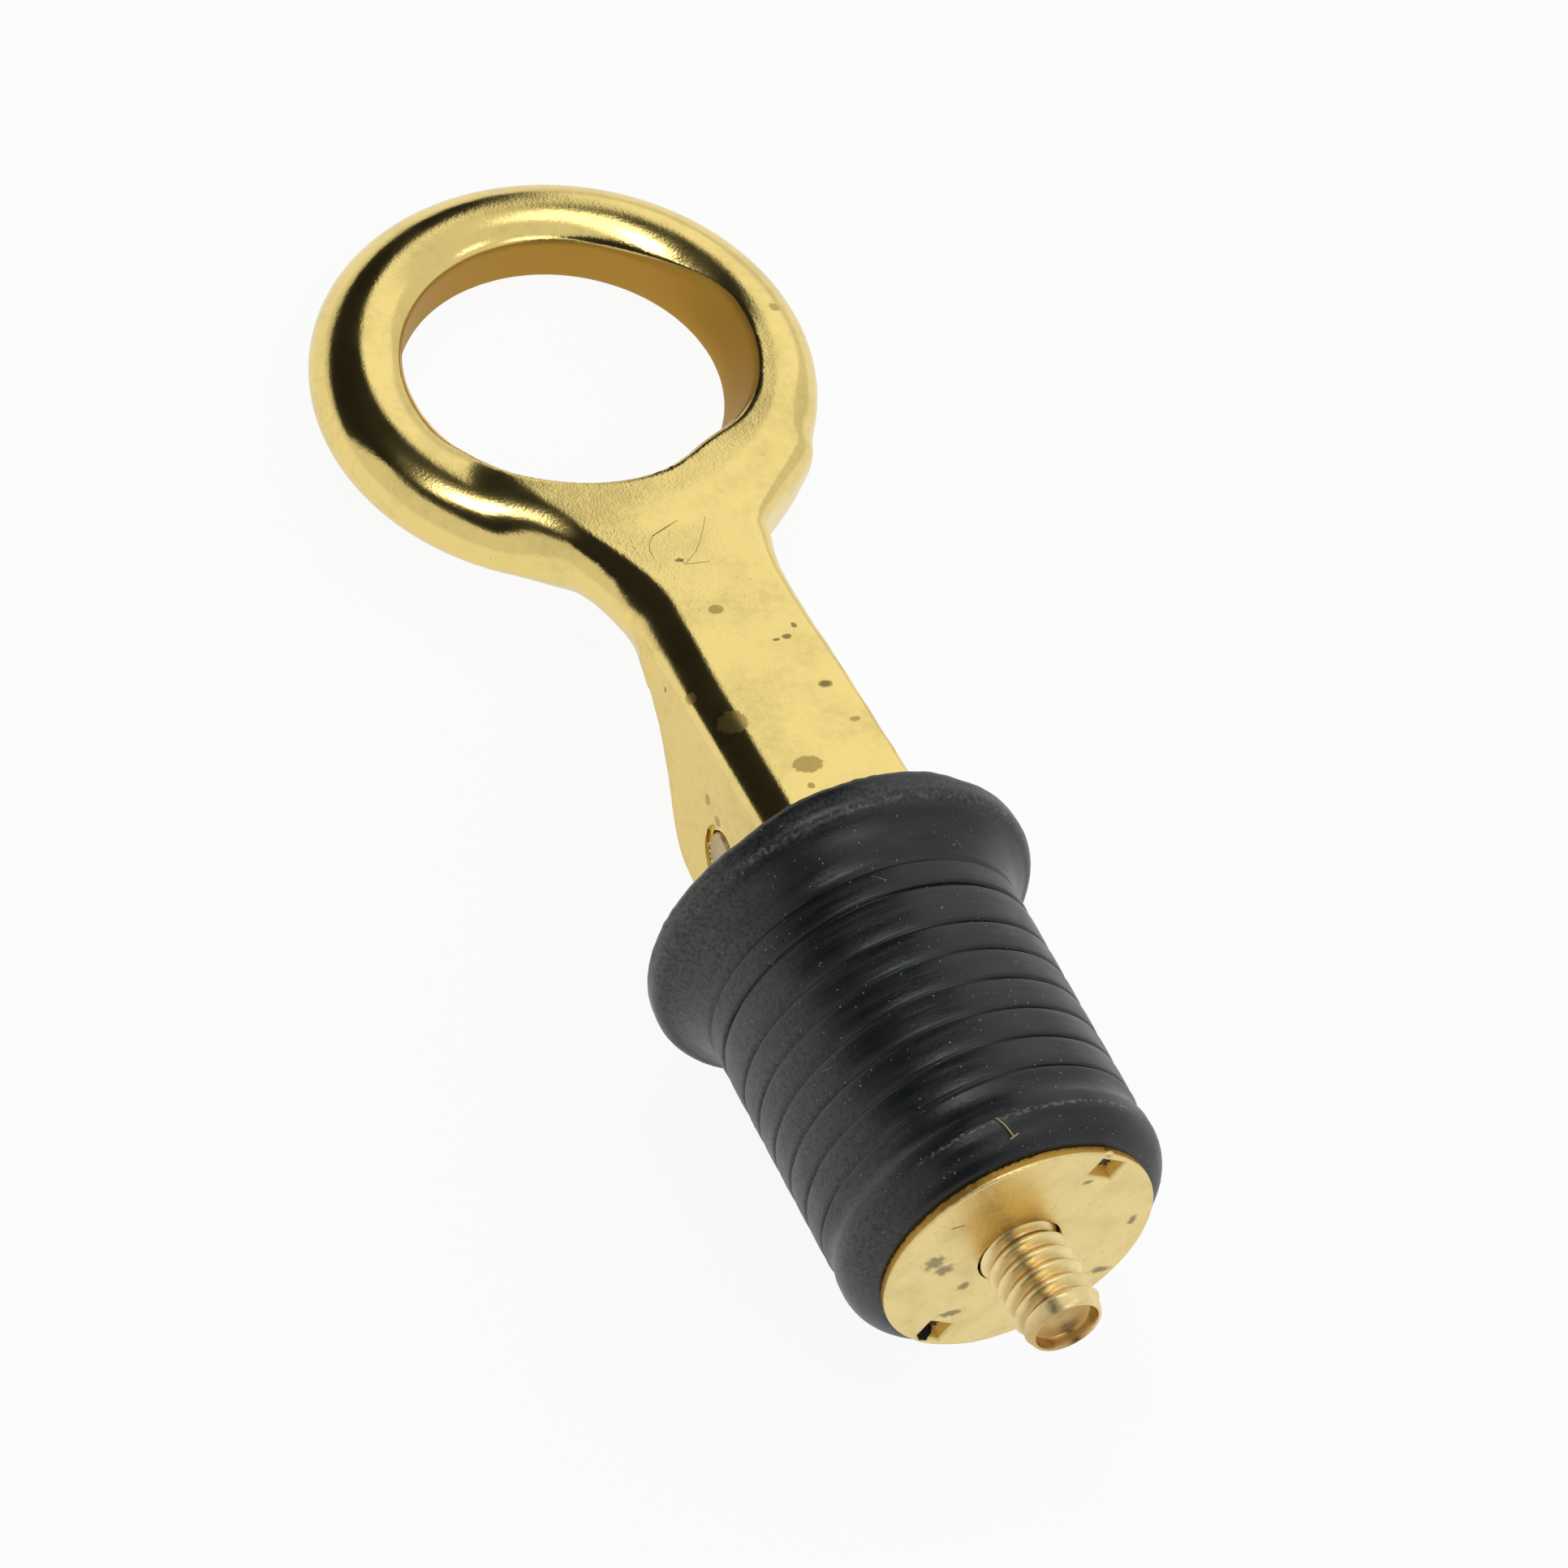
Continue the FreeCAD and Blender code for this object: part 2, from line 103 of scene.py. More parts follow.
@dataclass(frozen=True)
class Lay:
    """How the upright plug is laid down, front up, about the centre of its seat."""

    tilt: float = math.radians(14.012)
    seat: float = 24.616

    def points(self, spots: np.ndarray) -> np.ndarray:
        """Carry plug points in millimetres to the lying frame in metres."""
        return self.directions(spots - np.array([0.0, 0.0, self.seat])) / 1000.0

    def directions(self, ways: np.ndarray) -> np.ndarray:
        """Turn plug directions into the lying frame without scaling them.

        Args:
            ways: Array whose last axis is x, y, z.

        Returns:
            Array of the same shape.
        """
        sine, cosine = math.sin(self.tilt), math.cos(self.tilt)
        across, front, up = ways[..., 0], ways[..., 1], ways[..., 2]
        return np.stack(
            [across, -front * sine - up * cosine, front * cosine - up * sine], axis=-1
        )


LAY = Lay()
PIN_HEIGHT = 40.2


class Shading(Enum):
    """How a mesh's faces meet in the light."""

    SMOOTH = 180.0
    CREASED = 32.0


def add_object(name: str, data: bpy.types.ID) -> Object:
    """Put data into the scene as an object at the origin.

    Args:
        name: Name of the object.
        data: Mesh, light or camera.

    Returns:
        The object.
    """
    made = bpy.data.objects.new(name, data)
    bpy.context.scene.collection.objects.link(made)
    return made


def make_piece(
    name: str, points: np.ndarray, faces: Sequence, shading: Shading = Shading.CREASED
) -> Object:
    """Make a mesh object from plug points.

    Args:
        name: Name of the piece.
        points: Plug points in millimetres, shape (n, 3).
        faces: Corner numbers of each face, outward by the right-hand rule.
        shading: Angle above which an edge stays sharp.

    Returns:
        The object, at the origin, linked to the scene.
    """
    mesh = bpy.data.meshes.new(name)
    mesh.from_pydata(LAY.points(points).tolist(), [], faces)
    mesh.validate()
    mesh.shade_smooth()
    if shading is not Shading.SMOOTH:
        mesh.set_sharp_from_angle(angle=math.radians(shading.value))
    log.info("%s: %d faces", name, len(mesh.polygons))
    return add_object(name, mesh)


class Outline:
    """Closed flat outline with its signed distance kept in a table."""

    def __init__(self, corners: np.ndarray, margin: float = 16.0, step: float = 0.1) -> None:
        """Measure the distance table.

        Args:
            corners: Points of the outline in order, shape (n, 2).
            margin: How far the table reaches past the outline.
            step: Spacing of the table.
        """
        self.low = corners.min(axis=0) - margin
        self.step = step
        counts = np.ceil((corners.max(axis=0) + margin - self.low) / step).astype(int) + 1
        first = self.low[0] + step * np.arange(counts[0])
        second = self.low[1] + step * np.arange(counts[1])
        along, up = np.meshgrid(first, second, indexing="ij")
        nearest = np.full(along.shape, 1e9)
        inside = np.zeros(along.shape, bool)
        for start, finish in zip(corners, np.roll(corners, -1, axis=0)):
            edge = finish - start
            share = ((along - start[0]) * edge[0] + (up - start[1]) * edge[1]) / (edge @ edge)
            share = np.clip(share, 0.0, 1.0)
            beside, over = along - start[0] - share * edge[0], up - start[1] - share * edge[1]
            nearest = np.minimum(nearest, beside ** 2 + over ** 2)
            if start[1] != finish[1]:
                crosses = (start[1] > up) != (finish[1] > up)
                reach = start[0] + (up - start[1]) * edge[0] / edge[1]
                inside ^= crosses & (along < reach)
        self.table = np.where(inside, -1.0, 1.0) * np.sqrt(nearest)

    def at(self, along: np.ndarray, up: np.ndarray) -> np.ndarray:
        """Signed distance at points, negative inside.

        Args:
            along: First coordinate of each point.
            up: Second coordinate of each point.

        Returns:
            Distances, shaped as the two coordinates broadcast.
        """
        across = np.clip((along - self.low[0]) / self.step, 0, self.table.shape[0] - 1.001)
        above = np.clip((up - self.low[1]) / self.step, 0, self.table.shape[1] - 1.001)
        column, row = across.astype(int), above.astype(int)
        right, top = across - column, above - row
        lower = self.table[column, row] * (1 - right) + self.table[column + 1, row] * right
        upper = self.table[column, row + 1] * (1 - right) + self.table[column + 1, row + 1] * right
        return lower * (1 - top) + upper * top


def arc(centre: tuple[float, float], radius: float, start: float, finish: float) -> np.ndarray:
    """Points along an arc, angles in degrees.

    Args:
        centre: Centre of the arc.
        radius: Radius of the arc.
        start: First angle.
        finish: Last angle.

    Returns:
        Points, shape (n, 2).
    """
    count = max(3, int(abs(finish - start) / 4) + 1)
    turn = np.radians(np.linspace(start, finish, count))
    return np.stack([centre[0] + radius * np.cos(turn), centre[1] + radius * np.sin(turn)], axis=1)


def flowing(knots: Sequence[tuple[float, float]], pieces: int = 6) -> np.ndarray:
    """Smooth curve through knots.

    Args:
        knots: Points that the curve passes.
        pieces: Number of steps between two knots.

    Returns:
        Points, shape (n, 2), the last knot included.
    """
    known = np.array(knots, float)
    padded = np.vstack([2 * known[0] - known[1], known, 2 * known[-1] - known[-2]])
    line = []
    for index in range(len(known) - 1):
        before, start, finish, after = padded[index:index + 4]
        for share in np.arange(pieces) / pieces:
            line.append(0.5 * (
                2 * start + (finish - before) * share
                + (2 * before - 5 * start + 4 * finish - after) * share ** 2
                + (3 * start - before - 3 * finish + after) * share ** 3
            ))
    line.append(known[-1])
    return np.array(line)


def rounded_meet(first: np.ndarray, second: np.ndarray, radius: np.ndarray | float) -> np.ndarray:
    """Distance to the overlap of two shapes whose shared edge is rounded to a radius."""
    outer = np.hypot(np.maximum(first + radius, 0), np.maximum(second + radius, 0))
    return np.minimum(np.maximum(first, second) + radius, 0) + outer - radius


def blended_join(first: np.ndarray, second: np.ndarray, reach: np.ndarray | float) -> np.ndarray:
    """Distance to the union of two shapes with a fillet of some reach between them."""
    share = np.clip(0.5 + 0.5 * (second - first) / reach, 0, 1)
    return second + (first - second) * share - reach * share * (1 - share)


def eased(value: np.ndarray, start: float, finish: float) -> np.ndarray:
    """Smooth step from 0 at start to 1 at finish."""
    share = np.clip((value - start) / (finish - start), 0, 1)
    return share * share * (3 - 2 * share)


class Skin:
    """Closed mesh over the zero level of a distance function.

    One vertex sits in each crossed cell, where the surface's tangent planes meet, so that
    both smooth fillets and crisp edges come out true. A small pull holds it near the middle
    of the crossings.
    """

    pull = 0.05

    def __init__(
        self,
        distance: Callable[[np.ndarray, np.ndarray, np.ndarray], np.ndarray],
        low: Sequence[float],
        high: Sequence[float],
        step: float,
    ) -> None:
        """Keep what to cover and how finely.

        Args:
            distance: Signed distance at x, y, z.
            low: Lowest corner of the covered box.
            high: Highest corner of the covered box.
            step: Size of a cell.
        """
        self.distance = distance
        self.low = np.array(low, float)
        self.step = step
        self.counts = np.ceil((np.array(high, float) - self.low) / step).astype(int) + 1

    def slopes(self, spots: np.ndarray) -> np.ndarray:
        """Unit normals of the surface near points.

        Args:
            spots: Points, shape (n, 3).

        Returns:
            Normals, shape (n, 3).
        """
        reach = 0.02
        columns = []
        for axis in range(3):
            shift = np.zeros(3)
            shift[axis] = reach
            columns.append(
                self.distance(*(spots + shift).T) - self.distance(*(spots - shift).T)
            )
        normals = np.stack(columns, axis=1)
        return normals / np.maximum(np.linalg.norm(normals, axis=1, keepdims=True), 1e-9)

    def build(self) -> tuple[np.ndarray, list[list[int]]]:
        """Make the mesh.

        Returns:
            Its points and its four-sided faces.
        """
        axes = [self.low[a] + self.step * np.arange(self.counts[a]) for a in range(3)]
        values = self.distance(*np.meshgrid(*axes, indexing="ij"))
        inside = values < 0
        cell_counts = self.counts - 1
        total = int(np.prod(cell_counts))
        # Rows of the sums: 0-5 products of two slopes, 6-8 slopes times their plane's
        # distance, 9-11 the crossings, 12 their number.
        sums = np.zeros((13, total))
        edges = []
        for axis in range(3):
            along = np.moveaxis(inside, axis, 0)
            found = np.argwhere(np.moveaxis(along[:-1] != along[1:], 0, axis))
            step = np.zeros(3, int)
            step[axis] = 1
            near = values[tuple(found.T)]
            far = values[tuple((found + step).T)]
            spots = self.low + self.step * (found + step * (near / (near - far))[:, None])
            normals = self.slopes(spots)
            flat = np.einsum("ij,ij->i", normals, spots)
            weights = [normals[:, a] * normals[:, b] for a in range(3) for b in range(a, 3)]
            weights += [normals[:, a] * flat for a in range(3)]
            weights += [spots[:, a] for a in range(3)] + [np.ones(len(spots))]
            others = [a for a in range(3) if a != axis]
            corners = []
            for back_first, back_second in ((1, 1), (0, 1), (0, 0), (1, 0)):
                cell = found.copy()
                cell[:, others[0]] -= back_first
                cell[:, others[1]] -= back_second
                number = np.ravel_multi_index(tuple(cell.T), tuple(cell_counts))
                corners.append(number)
                for row, weight in enumerate(weights):
                    sums[row] += np.bincount(number, weights=weight, minlength=total)
            edges.append((axis, near < 0, np.stack(corners, axis=1)))
        used = np.flatnonzero(sums[12])
        order = np.full(total, -1)
        order[used] = np.arange(len(used))
        sums = sums[:, used]
        matrix = np.empty((len(used), 3, 3))
        for row, (a, b) in enumerate([(a, b) for a in range(3) for b in range(a, 3)]):
            matrix[:, a, b] = matrix[:, b, a] = sums[row]
        middle = (sums[9:12] / sums[12]).T
        aim = sums[6:9].T - np.einsum("nij,nj->ni", matrix, middle)
        matrix += self.pull * np.eye(3) * sums[12][:, None, None]
        shift = np.linalg.solve(matrix, aim[..., None])[..., 0]
        floor = self.low + self.step * np.stack(np.unravel_index(used, tuple(cell_counts)), axis=1)
        points = np.clip(middle + shift, floor, floor + self.step)
        faces: list[list[int]] = []
        for axis, starts_inside, corners in edges:
            squares = order[corners]
            turned = starts_inside if axis != 1 else ~starts_inside
            squares[~turned] = squares[~turned][:, ::-1]
            faces += squares.tolist()
        return points, faces


def quads(rows: int, around: int) -> np.ndarray:
    """Four-sided faces of a grid that closes on itself in both directions.

    Args:
        rows: Number of rows.
        around: Number of points in a row.

    Returns:
        Corner numbers, shape (rows, around, 4).
    """
    here = np.arange(rows * around).reshape(rows, around)
    above = np.roll(here, -1, axis=0)
    return np.stack([here, np.roll(here, -1, axis=1), np.roll(above, -1, axis=1), above], axis=-1)


def lathe(profile: np.ndarray, around: int) -> tuple[np.ndarray, list[list[int]]]:
    """Spin a closed profile of (radius, height) round the plug's axis.

    Args:
        profile: Points in order, counter-clockwise with radius to the right.
        around: Number of steps in the turn.

    Returns:
        Points and faces.
    """
    turn = np.linspace(0, 2 * math.pi, around, endpoint=False)
    radius, height = profile.T
    points = np.stack([
        np.outer(np.cos(turn), radius), np.outer(np.sin(turn), radius),
        np.outer(np.ones(around), height),
    ], axis=-1).reshape(-1, 3)
    return points, quads(around, len(profile))[..., [0, 3, 2, 1]].reshape(-1, 4).tolist()


@dataclass
class RingLever:
    """Cast brass lever: finger ring, neck, stem, cam foot with its slot and pin bore.

    Pairs named flat, trim and flare are the bearings, in degrees round the ring from the
    stem, or the distances between which the ring's section changes.
    """

    ring_height: float = 86.48
    ring_mid: float = 5.05
    ring_shift: float = 0.42
    ring_twist: float = math.radians(2.35)
    ring_lean: float = math.radians(3.5)
    ring_line: float = 16.7
    bar_wide: float = 3.69
    bar_deep: float = 3.2
    bar_inner: float = 4.4
    wall_radius: float = 13.03
    wall_round: float = 0.45
    flat_from: tuple = (-75, -30)
    flat_to: tuple = (78, 108)
    trim_from: tuple = (-70, -35)
    trim_less: tuple = (5, 38)
    trim_to: tuple = (38, 70)
    neck: tuple = (58.0, 67.0)
    fillet: float = 1.8
    flare: float = 1.9
    flare_across: tuple = (5.5, 14.2)
    flare_rise: tuple = (1.2, 13.0)
    bevel_back: float = 1.5
    bevel_deep: float = 4.5
    flank: float = 6.2
    right_flank: float = 6.45
    flank_top: float = 54.5
    pin_bore: float = 1.83
    mouth: float = 2.7
    mouth_floor: float = 5.75
    sole: float = 32.9
    sole_front: float = 9.95
    sink: float = 1.45
    cam_share: float = 0.35
    slot_half: float = 2.7
    slot_front: float = 4.7
    slot_top: float = 44.9
    cell: float = 0.28
    lefts: tuple = (
        (20, 6.9), (50, 6.9), (54, 6.75), (57, 6.7), (58.5, 6.65), (60, 6.75), (62, 7.15),
        (64, 7.75), (66, 8.55), (68, 9.4), (70, 10.3), (72, 11.3), (74, 12.2), (77, 13.2),
    )
    rights: tuple = (
        (20, 6.9), (50, 6.7), (54, 6.5), (57, 6.5), (58.5, 6.55), (60, 6.68), (62, 7.1),
        (64, 7.75), (65.5, 8.1), (66.5, 8.7), (67.4, 9.6), (69, 11.3), (70.5, 13.0), (72.5, 15.1),
    )
    back_knots: tuple = (
        (2.9, 77), (2.9, 73.2), (1.8, 71), (1.55, 69), (1.9, 67), (2.8, 64), (3.3, 61.2),
        (3.55, 58.9), (3.5, 57.2), (3.05, 54.5), (1.97, 52.3), (0.28, 50.5), (-1.54, 48.9),
        (-3.2, 47.7), (-4.6, 46.4), (-5.33, 45.3), (-5.75, 44.1), (-5.85, 43.1),
    )
    front_knots: tuple = (
        (8.5, 56), (8.36, 58), (8.12, 61), (7.88, 64), (7.66, 66.5), (7.47, 69), (7.34, 71),
        (7.2, 73.2), (6.9, 75), (6.2, 77),
    )
    sections: dict = field(default_factory=dict)

    def bar(self, drop: float | None) -> np.ndarray:
        """Section of the ring's bar, its inner half round or with a flat front.

        Args:
            drop: How far the flat front falls toward the hole, None for a round one.

        Returns:
            Closed outline as (outward, forward) from the bar's middle.
        """
        wall, corner = self.wall_radius - self.ring_line, 0.5
        outer = arc((0, 0), 1.0, -90, 90) * [self.bar_wide, self.bar_deep]
        start = 91 if drop is None else 185
        inner = arc((0, 0), 1.0, start, 269) * [self.bar_inner, self.bar_deep]
        if drop is not None:
            middle = (wall + corner, self.bar_deep - drop - corner)
            inner = np.vstack([arc(middle, corner, 92, 180), inner])
        inner[:, 0] = np.maximum(inner[:, 0], wall)
        return np.vstack([outer, inner])

    def prepare(self) -> None:
        """Work out the flat outlines that the casting is measured against."""
        lift = self.cam_share * self.sink
        cam = ((1 - self.cam_share) * self.sink, PIN_HEIGHT - lift)
        side = np.vstack([
            [[self.sole_front, self.sole]],
            flowing(self.front_knots),
            flowing(self.back_knots),
            arc(cam, PIN_HEIGHT - self.sole - lift, 180, 270),
        ])
        self.sections = {
            "round": Outline(self.bar(None)), "flat": Outline(self.bar(0.1)),
            "side": Outline(side),
        }
        heights, spread = np.arange(20, 110, 0.05), 20
        window = np.hanning(2 * spread + 1)
        for name, knots in (("left", np.array(self.lefts)), ("right", np.array(self.rights))):
            rough = np.pad(np.interp(heights, knots[:, 0], knots[:, 1]), spread, mode="edge")
            self.sections[name] = (heights, np.convolve(rough, window / window.sum(), "valid"))

    def distance(self, x: np.ndarray, y: np.ndarray, z: np.ndarray) -> np.ndarray:
        """Signed distance to the casting.

        Args:
            x: Plug X of each point.
            y: Plug Y of each point.
            z: Plug Z of each point.

        Returns:
            Distances, negative inside the brass.
        """
        sine, cosine = math.sin(self.ring_lean), math.cos(self.ring_lean)
        across, above = x - self.ring_shift, z - self.ring_height
        front = y - self.ring_mid + across * math.sin(self.ring_twist)
        rise = front * sine + above * cosine
        depth = front * cosine - above * sine
        radius = np.hypot(across, rise)
        bearing = np.degrees(np.arctan2(-across, -rise))
        outward = radius - self.ring_line
        share = eased(bearing, *self.flat_from) * (1 - eased(bearing, *self.flat_to))
        ring = self.sections["round"].at(outward, depth) * (1 - share)
        ring += self.sections["flat"].at(outward, depth) * share
        trimmed = eased(bearing, *self.trim_from) * (1 - 0.7 * eased(bearing, *self.trim_less))
        trimmed *= 1 - eased(bearing, *self.trim_to)
        flared = self.flare * eased(-across, *self.flare_across)
        flared = trimmed + flared * (1 - eased(rise, *self.flare_rise))
        tilt = np.clip((depth + self.bevel_back) / self.bevel_deep, 0, 1)
        hole = self.wall_radius + flared * tilt - radius
        side = self.sections["side"].at(y, z)
        ahead = eased(y, 2.0, 6.0)
        full = eased(z, *self.neck)
        edge = (0.5 + 3.0 * ahead) * (1 - full) + 3.0 * full
        stem = rounded_meet(side, x - np.interp(z, *self.sections["left"]), edge)
        edge = 0.95 + 0.75 * full
        stem = rounded_meet(stem, -x - np.interp(z, *self.sections["right"]), edge)
        body = rounded_meet(blended_join(ring, stem, self.fillet), hole, self.wall_round)
        ground = np.maximum(x - self.flank, -x - self.right_flank)
        body = rounded_meet(body, ground - 0.6 * np.maximum(z - self.flank_top, 0), 0.3)
        slot = np.maximum(np.abs(x) - self.slot_half, y - self.slot_front)
        slot = np.maximum(slot, z - self.slot_top)
        bore = np.hypot(y, z - PIN_HEIGHT) - self.pin_bore
        mouth = np.hypot(y - 0.15, z - PIN_HEIGHT + 0.6) - self.mouth
        mouth = np.maximum(mouth, self.mouth_floor - x)
        return np.maximum(body, -np.minimum(np.minimum(slot, bore), mouth))

    def build(self) -> Object:
        """Make the casting's mesh, once its flat outlines are there.

        Returns:
            The piece.
        """
        self.prepare()
        skin = Skin(self.distance, (-21.5, -7.0, 32.0), (21.5, 11.5, 107.5), self.cell)
        return make_piece("lever_casting", *skin.build())


def bow(
    start: tuple[float, float], finish: tuple[float, float], radius: float, side: int
) -> np.ndarray:
    """Points along an arc of a radius between two points.

    Args:
        start: First point.
        finish: Last point, left out of the result.
        radius: Radius of the arc.
        side: +1 to bulge to the right of the chord, -1 to the left.

    Returns:
        Points, shape (n, 2).
    """
    first, last = np.array(start, float), np.array(finish, float)
    chord = last - first
    half = np.linalg.norm(chord) / 2
    right = np.array([chord[1], -chord[0]]) / (2 * half)
    centre = (first + last) / 2 - side * right * math.sqrt(radius**2 - half**2)
    begin = math.atan2(*(first - centre)[::-1])
    sweep = side * 2 * math.asin(half / radius)
    count = max(4, int(abs(sweep) * radius / 0.25))
    turn = begin + sweep * np.arange(count) / count
    return centre + radius * np.stack([np.cos(turn), np.sin(turn)], axis=1)


def turned_grid(points: np.ndarray, poles: np.ndarray) -> tuple[np.ndarray, list[list[int]]]:
    """Close a grid of rings with a pole at each end.

    Args:
        points: Rings round the axis, shape (rings, around, 3), first ring lowest.
        poles: The lower and the upper pole, shape (2, 3).

    Returns:
        Points and faces.
    """
    rings, around = points.shape[:2]
    faces = quads(rings, around)[:-1].reshape(-1, 4).tolist()
    foot, top = rings * around, rings * around + 1
    last = (rings - 1) * around
    for step in range(around):
        ahead = (step + 1) % around
        faces += [[foot, ahead, step], [top, last + step, last + ahead]]
    return np.vstack([points.reshape(-1, 3), poles]), faces


@dataclass
class RubberPlug:
    """Moulded rubber: flared flange, ribbed shank, bead, bore and top recess.

    A cut holds its depth, half its width and the share of its depth that is left at the back.
    """

    bore: float = 3.6
    shank: float = 12.36
    taper: float = 0.009
    washer: float = 0.8
    seat_line: float = 23.9
    lines: tuple = (6.68, 9.38, 12.06, 14.83, 17.6, 20.26)
    bulge: float = 0.1
    flare: tuple = ((12.5, 26.3), (14.45, 29.7))
    flare_round: float = 5.5
    rim: float = 15.27
    top: float = 32.5
    recess: float = 12.1
    recess_deep: float = 0.8
    around: int = 256
    line_cut: tuple = (0.24, 0.12, 0.0)
    seat_cut: tuple = (0.4, 0.14, 0.35)
    flare_cut: tuple = (0.2, 0.14, 0.4)

    def shank_wall(self) -> np.ndarray:
        """Wall of the shank from the waist up to the flare, bulging between its lines.

        Returns:
            Points as (radius, height), upward.
        """
        heights = np.arange(6.3, self.flare[0][1] - 0.02, 0.06)
        marks = np.array([5.4, *self.lines, self.seat_line, self.flare[0][1] + 0.3])
        place = np.clip(np.searchsorted(marks, heights) - 1, 0, len(marks) - 2)
        share = (heights - marks[place]) / (marks[place + 1] - marks[place])
        radii = self.shank + self.taper * (heights - 15) + self.bulge * (1 - (2 * share - 1) ** 4)
        return np.stack([radii, heights], axis=1)

    def profile(self) -> np.ndarray:
        """Closed profile of the moulding.

        Returns:
            Points as (radius, height), counter-clockwise.
        """
        floor = self.top - self.recess_deep
        return np.vstack([
            [[self.bore, self.washer]],
            bow((10.7, self.washer), (12.45, 3.2), 2.7, 1),
            [[12.47, 3.3], [12.46, 3.8]],
            bow((12.45, 4.2), (12.36, 6.2), 3.0, -1),
            self.shank_wall(),
            bow(*self.flare, self.flare_round, -1),
            bow(self.flare[1], (self.rim, 30.9), 1.1, 1),
            [[self.rim, 31.0], [self.rim - 0.04, 31.4]],
            bow((self.rim - 0.04, 31.6), (self.rim - 0.9, self.top), 0.95, 1),
            [[self.rim - 1.2, self.top], [self.recess, self.top]],
            [[self.recess, floor], [self.bore, floor]],
        ])

    def build(self) -> Object:
        """Make the moulding's mesh, its lines cut deeper at the front and its lip ragged.

        Returns:
            The piece.
        """
        points, faces = lathe(self.profile(), self.around)
        bearing = np.degrees(np.arctan2(points[:, 1], points[:, 0]))
        reach = np.hypot(points[:, 0], points[:, 1])
        height = points[:, 2].copy()
        side = (reach > 12) & (height > 5) & (height < 27)
        crisp = 0.3 + 0.7 * np.clip(eased(bearing, 75, 115) + eased(-bearing, -25, 5), 0, 1)
        cuts = [(line, *self.line_cut) for line in self.lines]
        cuts += [(self.seat_line, *self.seat_cut), (self.flare[0][1], *self.flare_cut)]
        cut = np.zeros(len(points))
        for line, deep, wide, least in cuts:
            strength = least + (1 - least) * crisp
            cut += deep * strength * np.exp(-(((height - line) / wide) ** 2))
        rough = np.random.default_rng(4)
        sway = np.zeros(len(points))
        for turns in range(5, 90, 5):
            phase, lean = rough.uniform(0, 6.28), rough.uniform(-0.8, 0.8)
            sway += np.sin(turns * np.radians(bearing) + phase + lean * height) / 17
        lip = eased(height, 31.2, 32.2) * (reach > 12.5)
        raised = np.clip(eased(bearing, 50, 72) - eased(bearing, 108, 125), 0, 1)
        points[:, :2] *= (1 - side * cut / reach)[:, None]
        points[:, 2] += lip * (0.42 * raised + 0.14 * (sway - 0.2))
        return make_piece("rubber_moulding", points, faces)


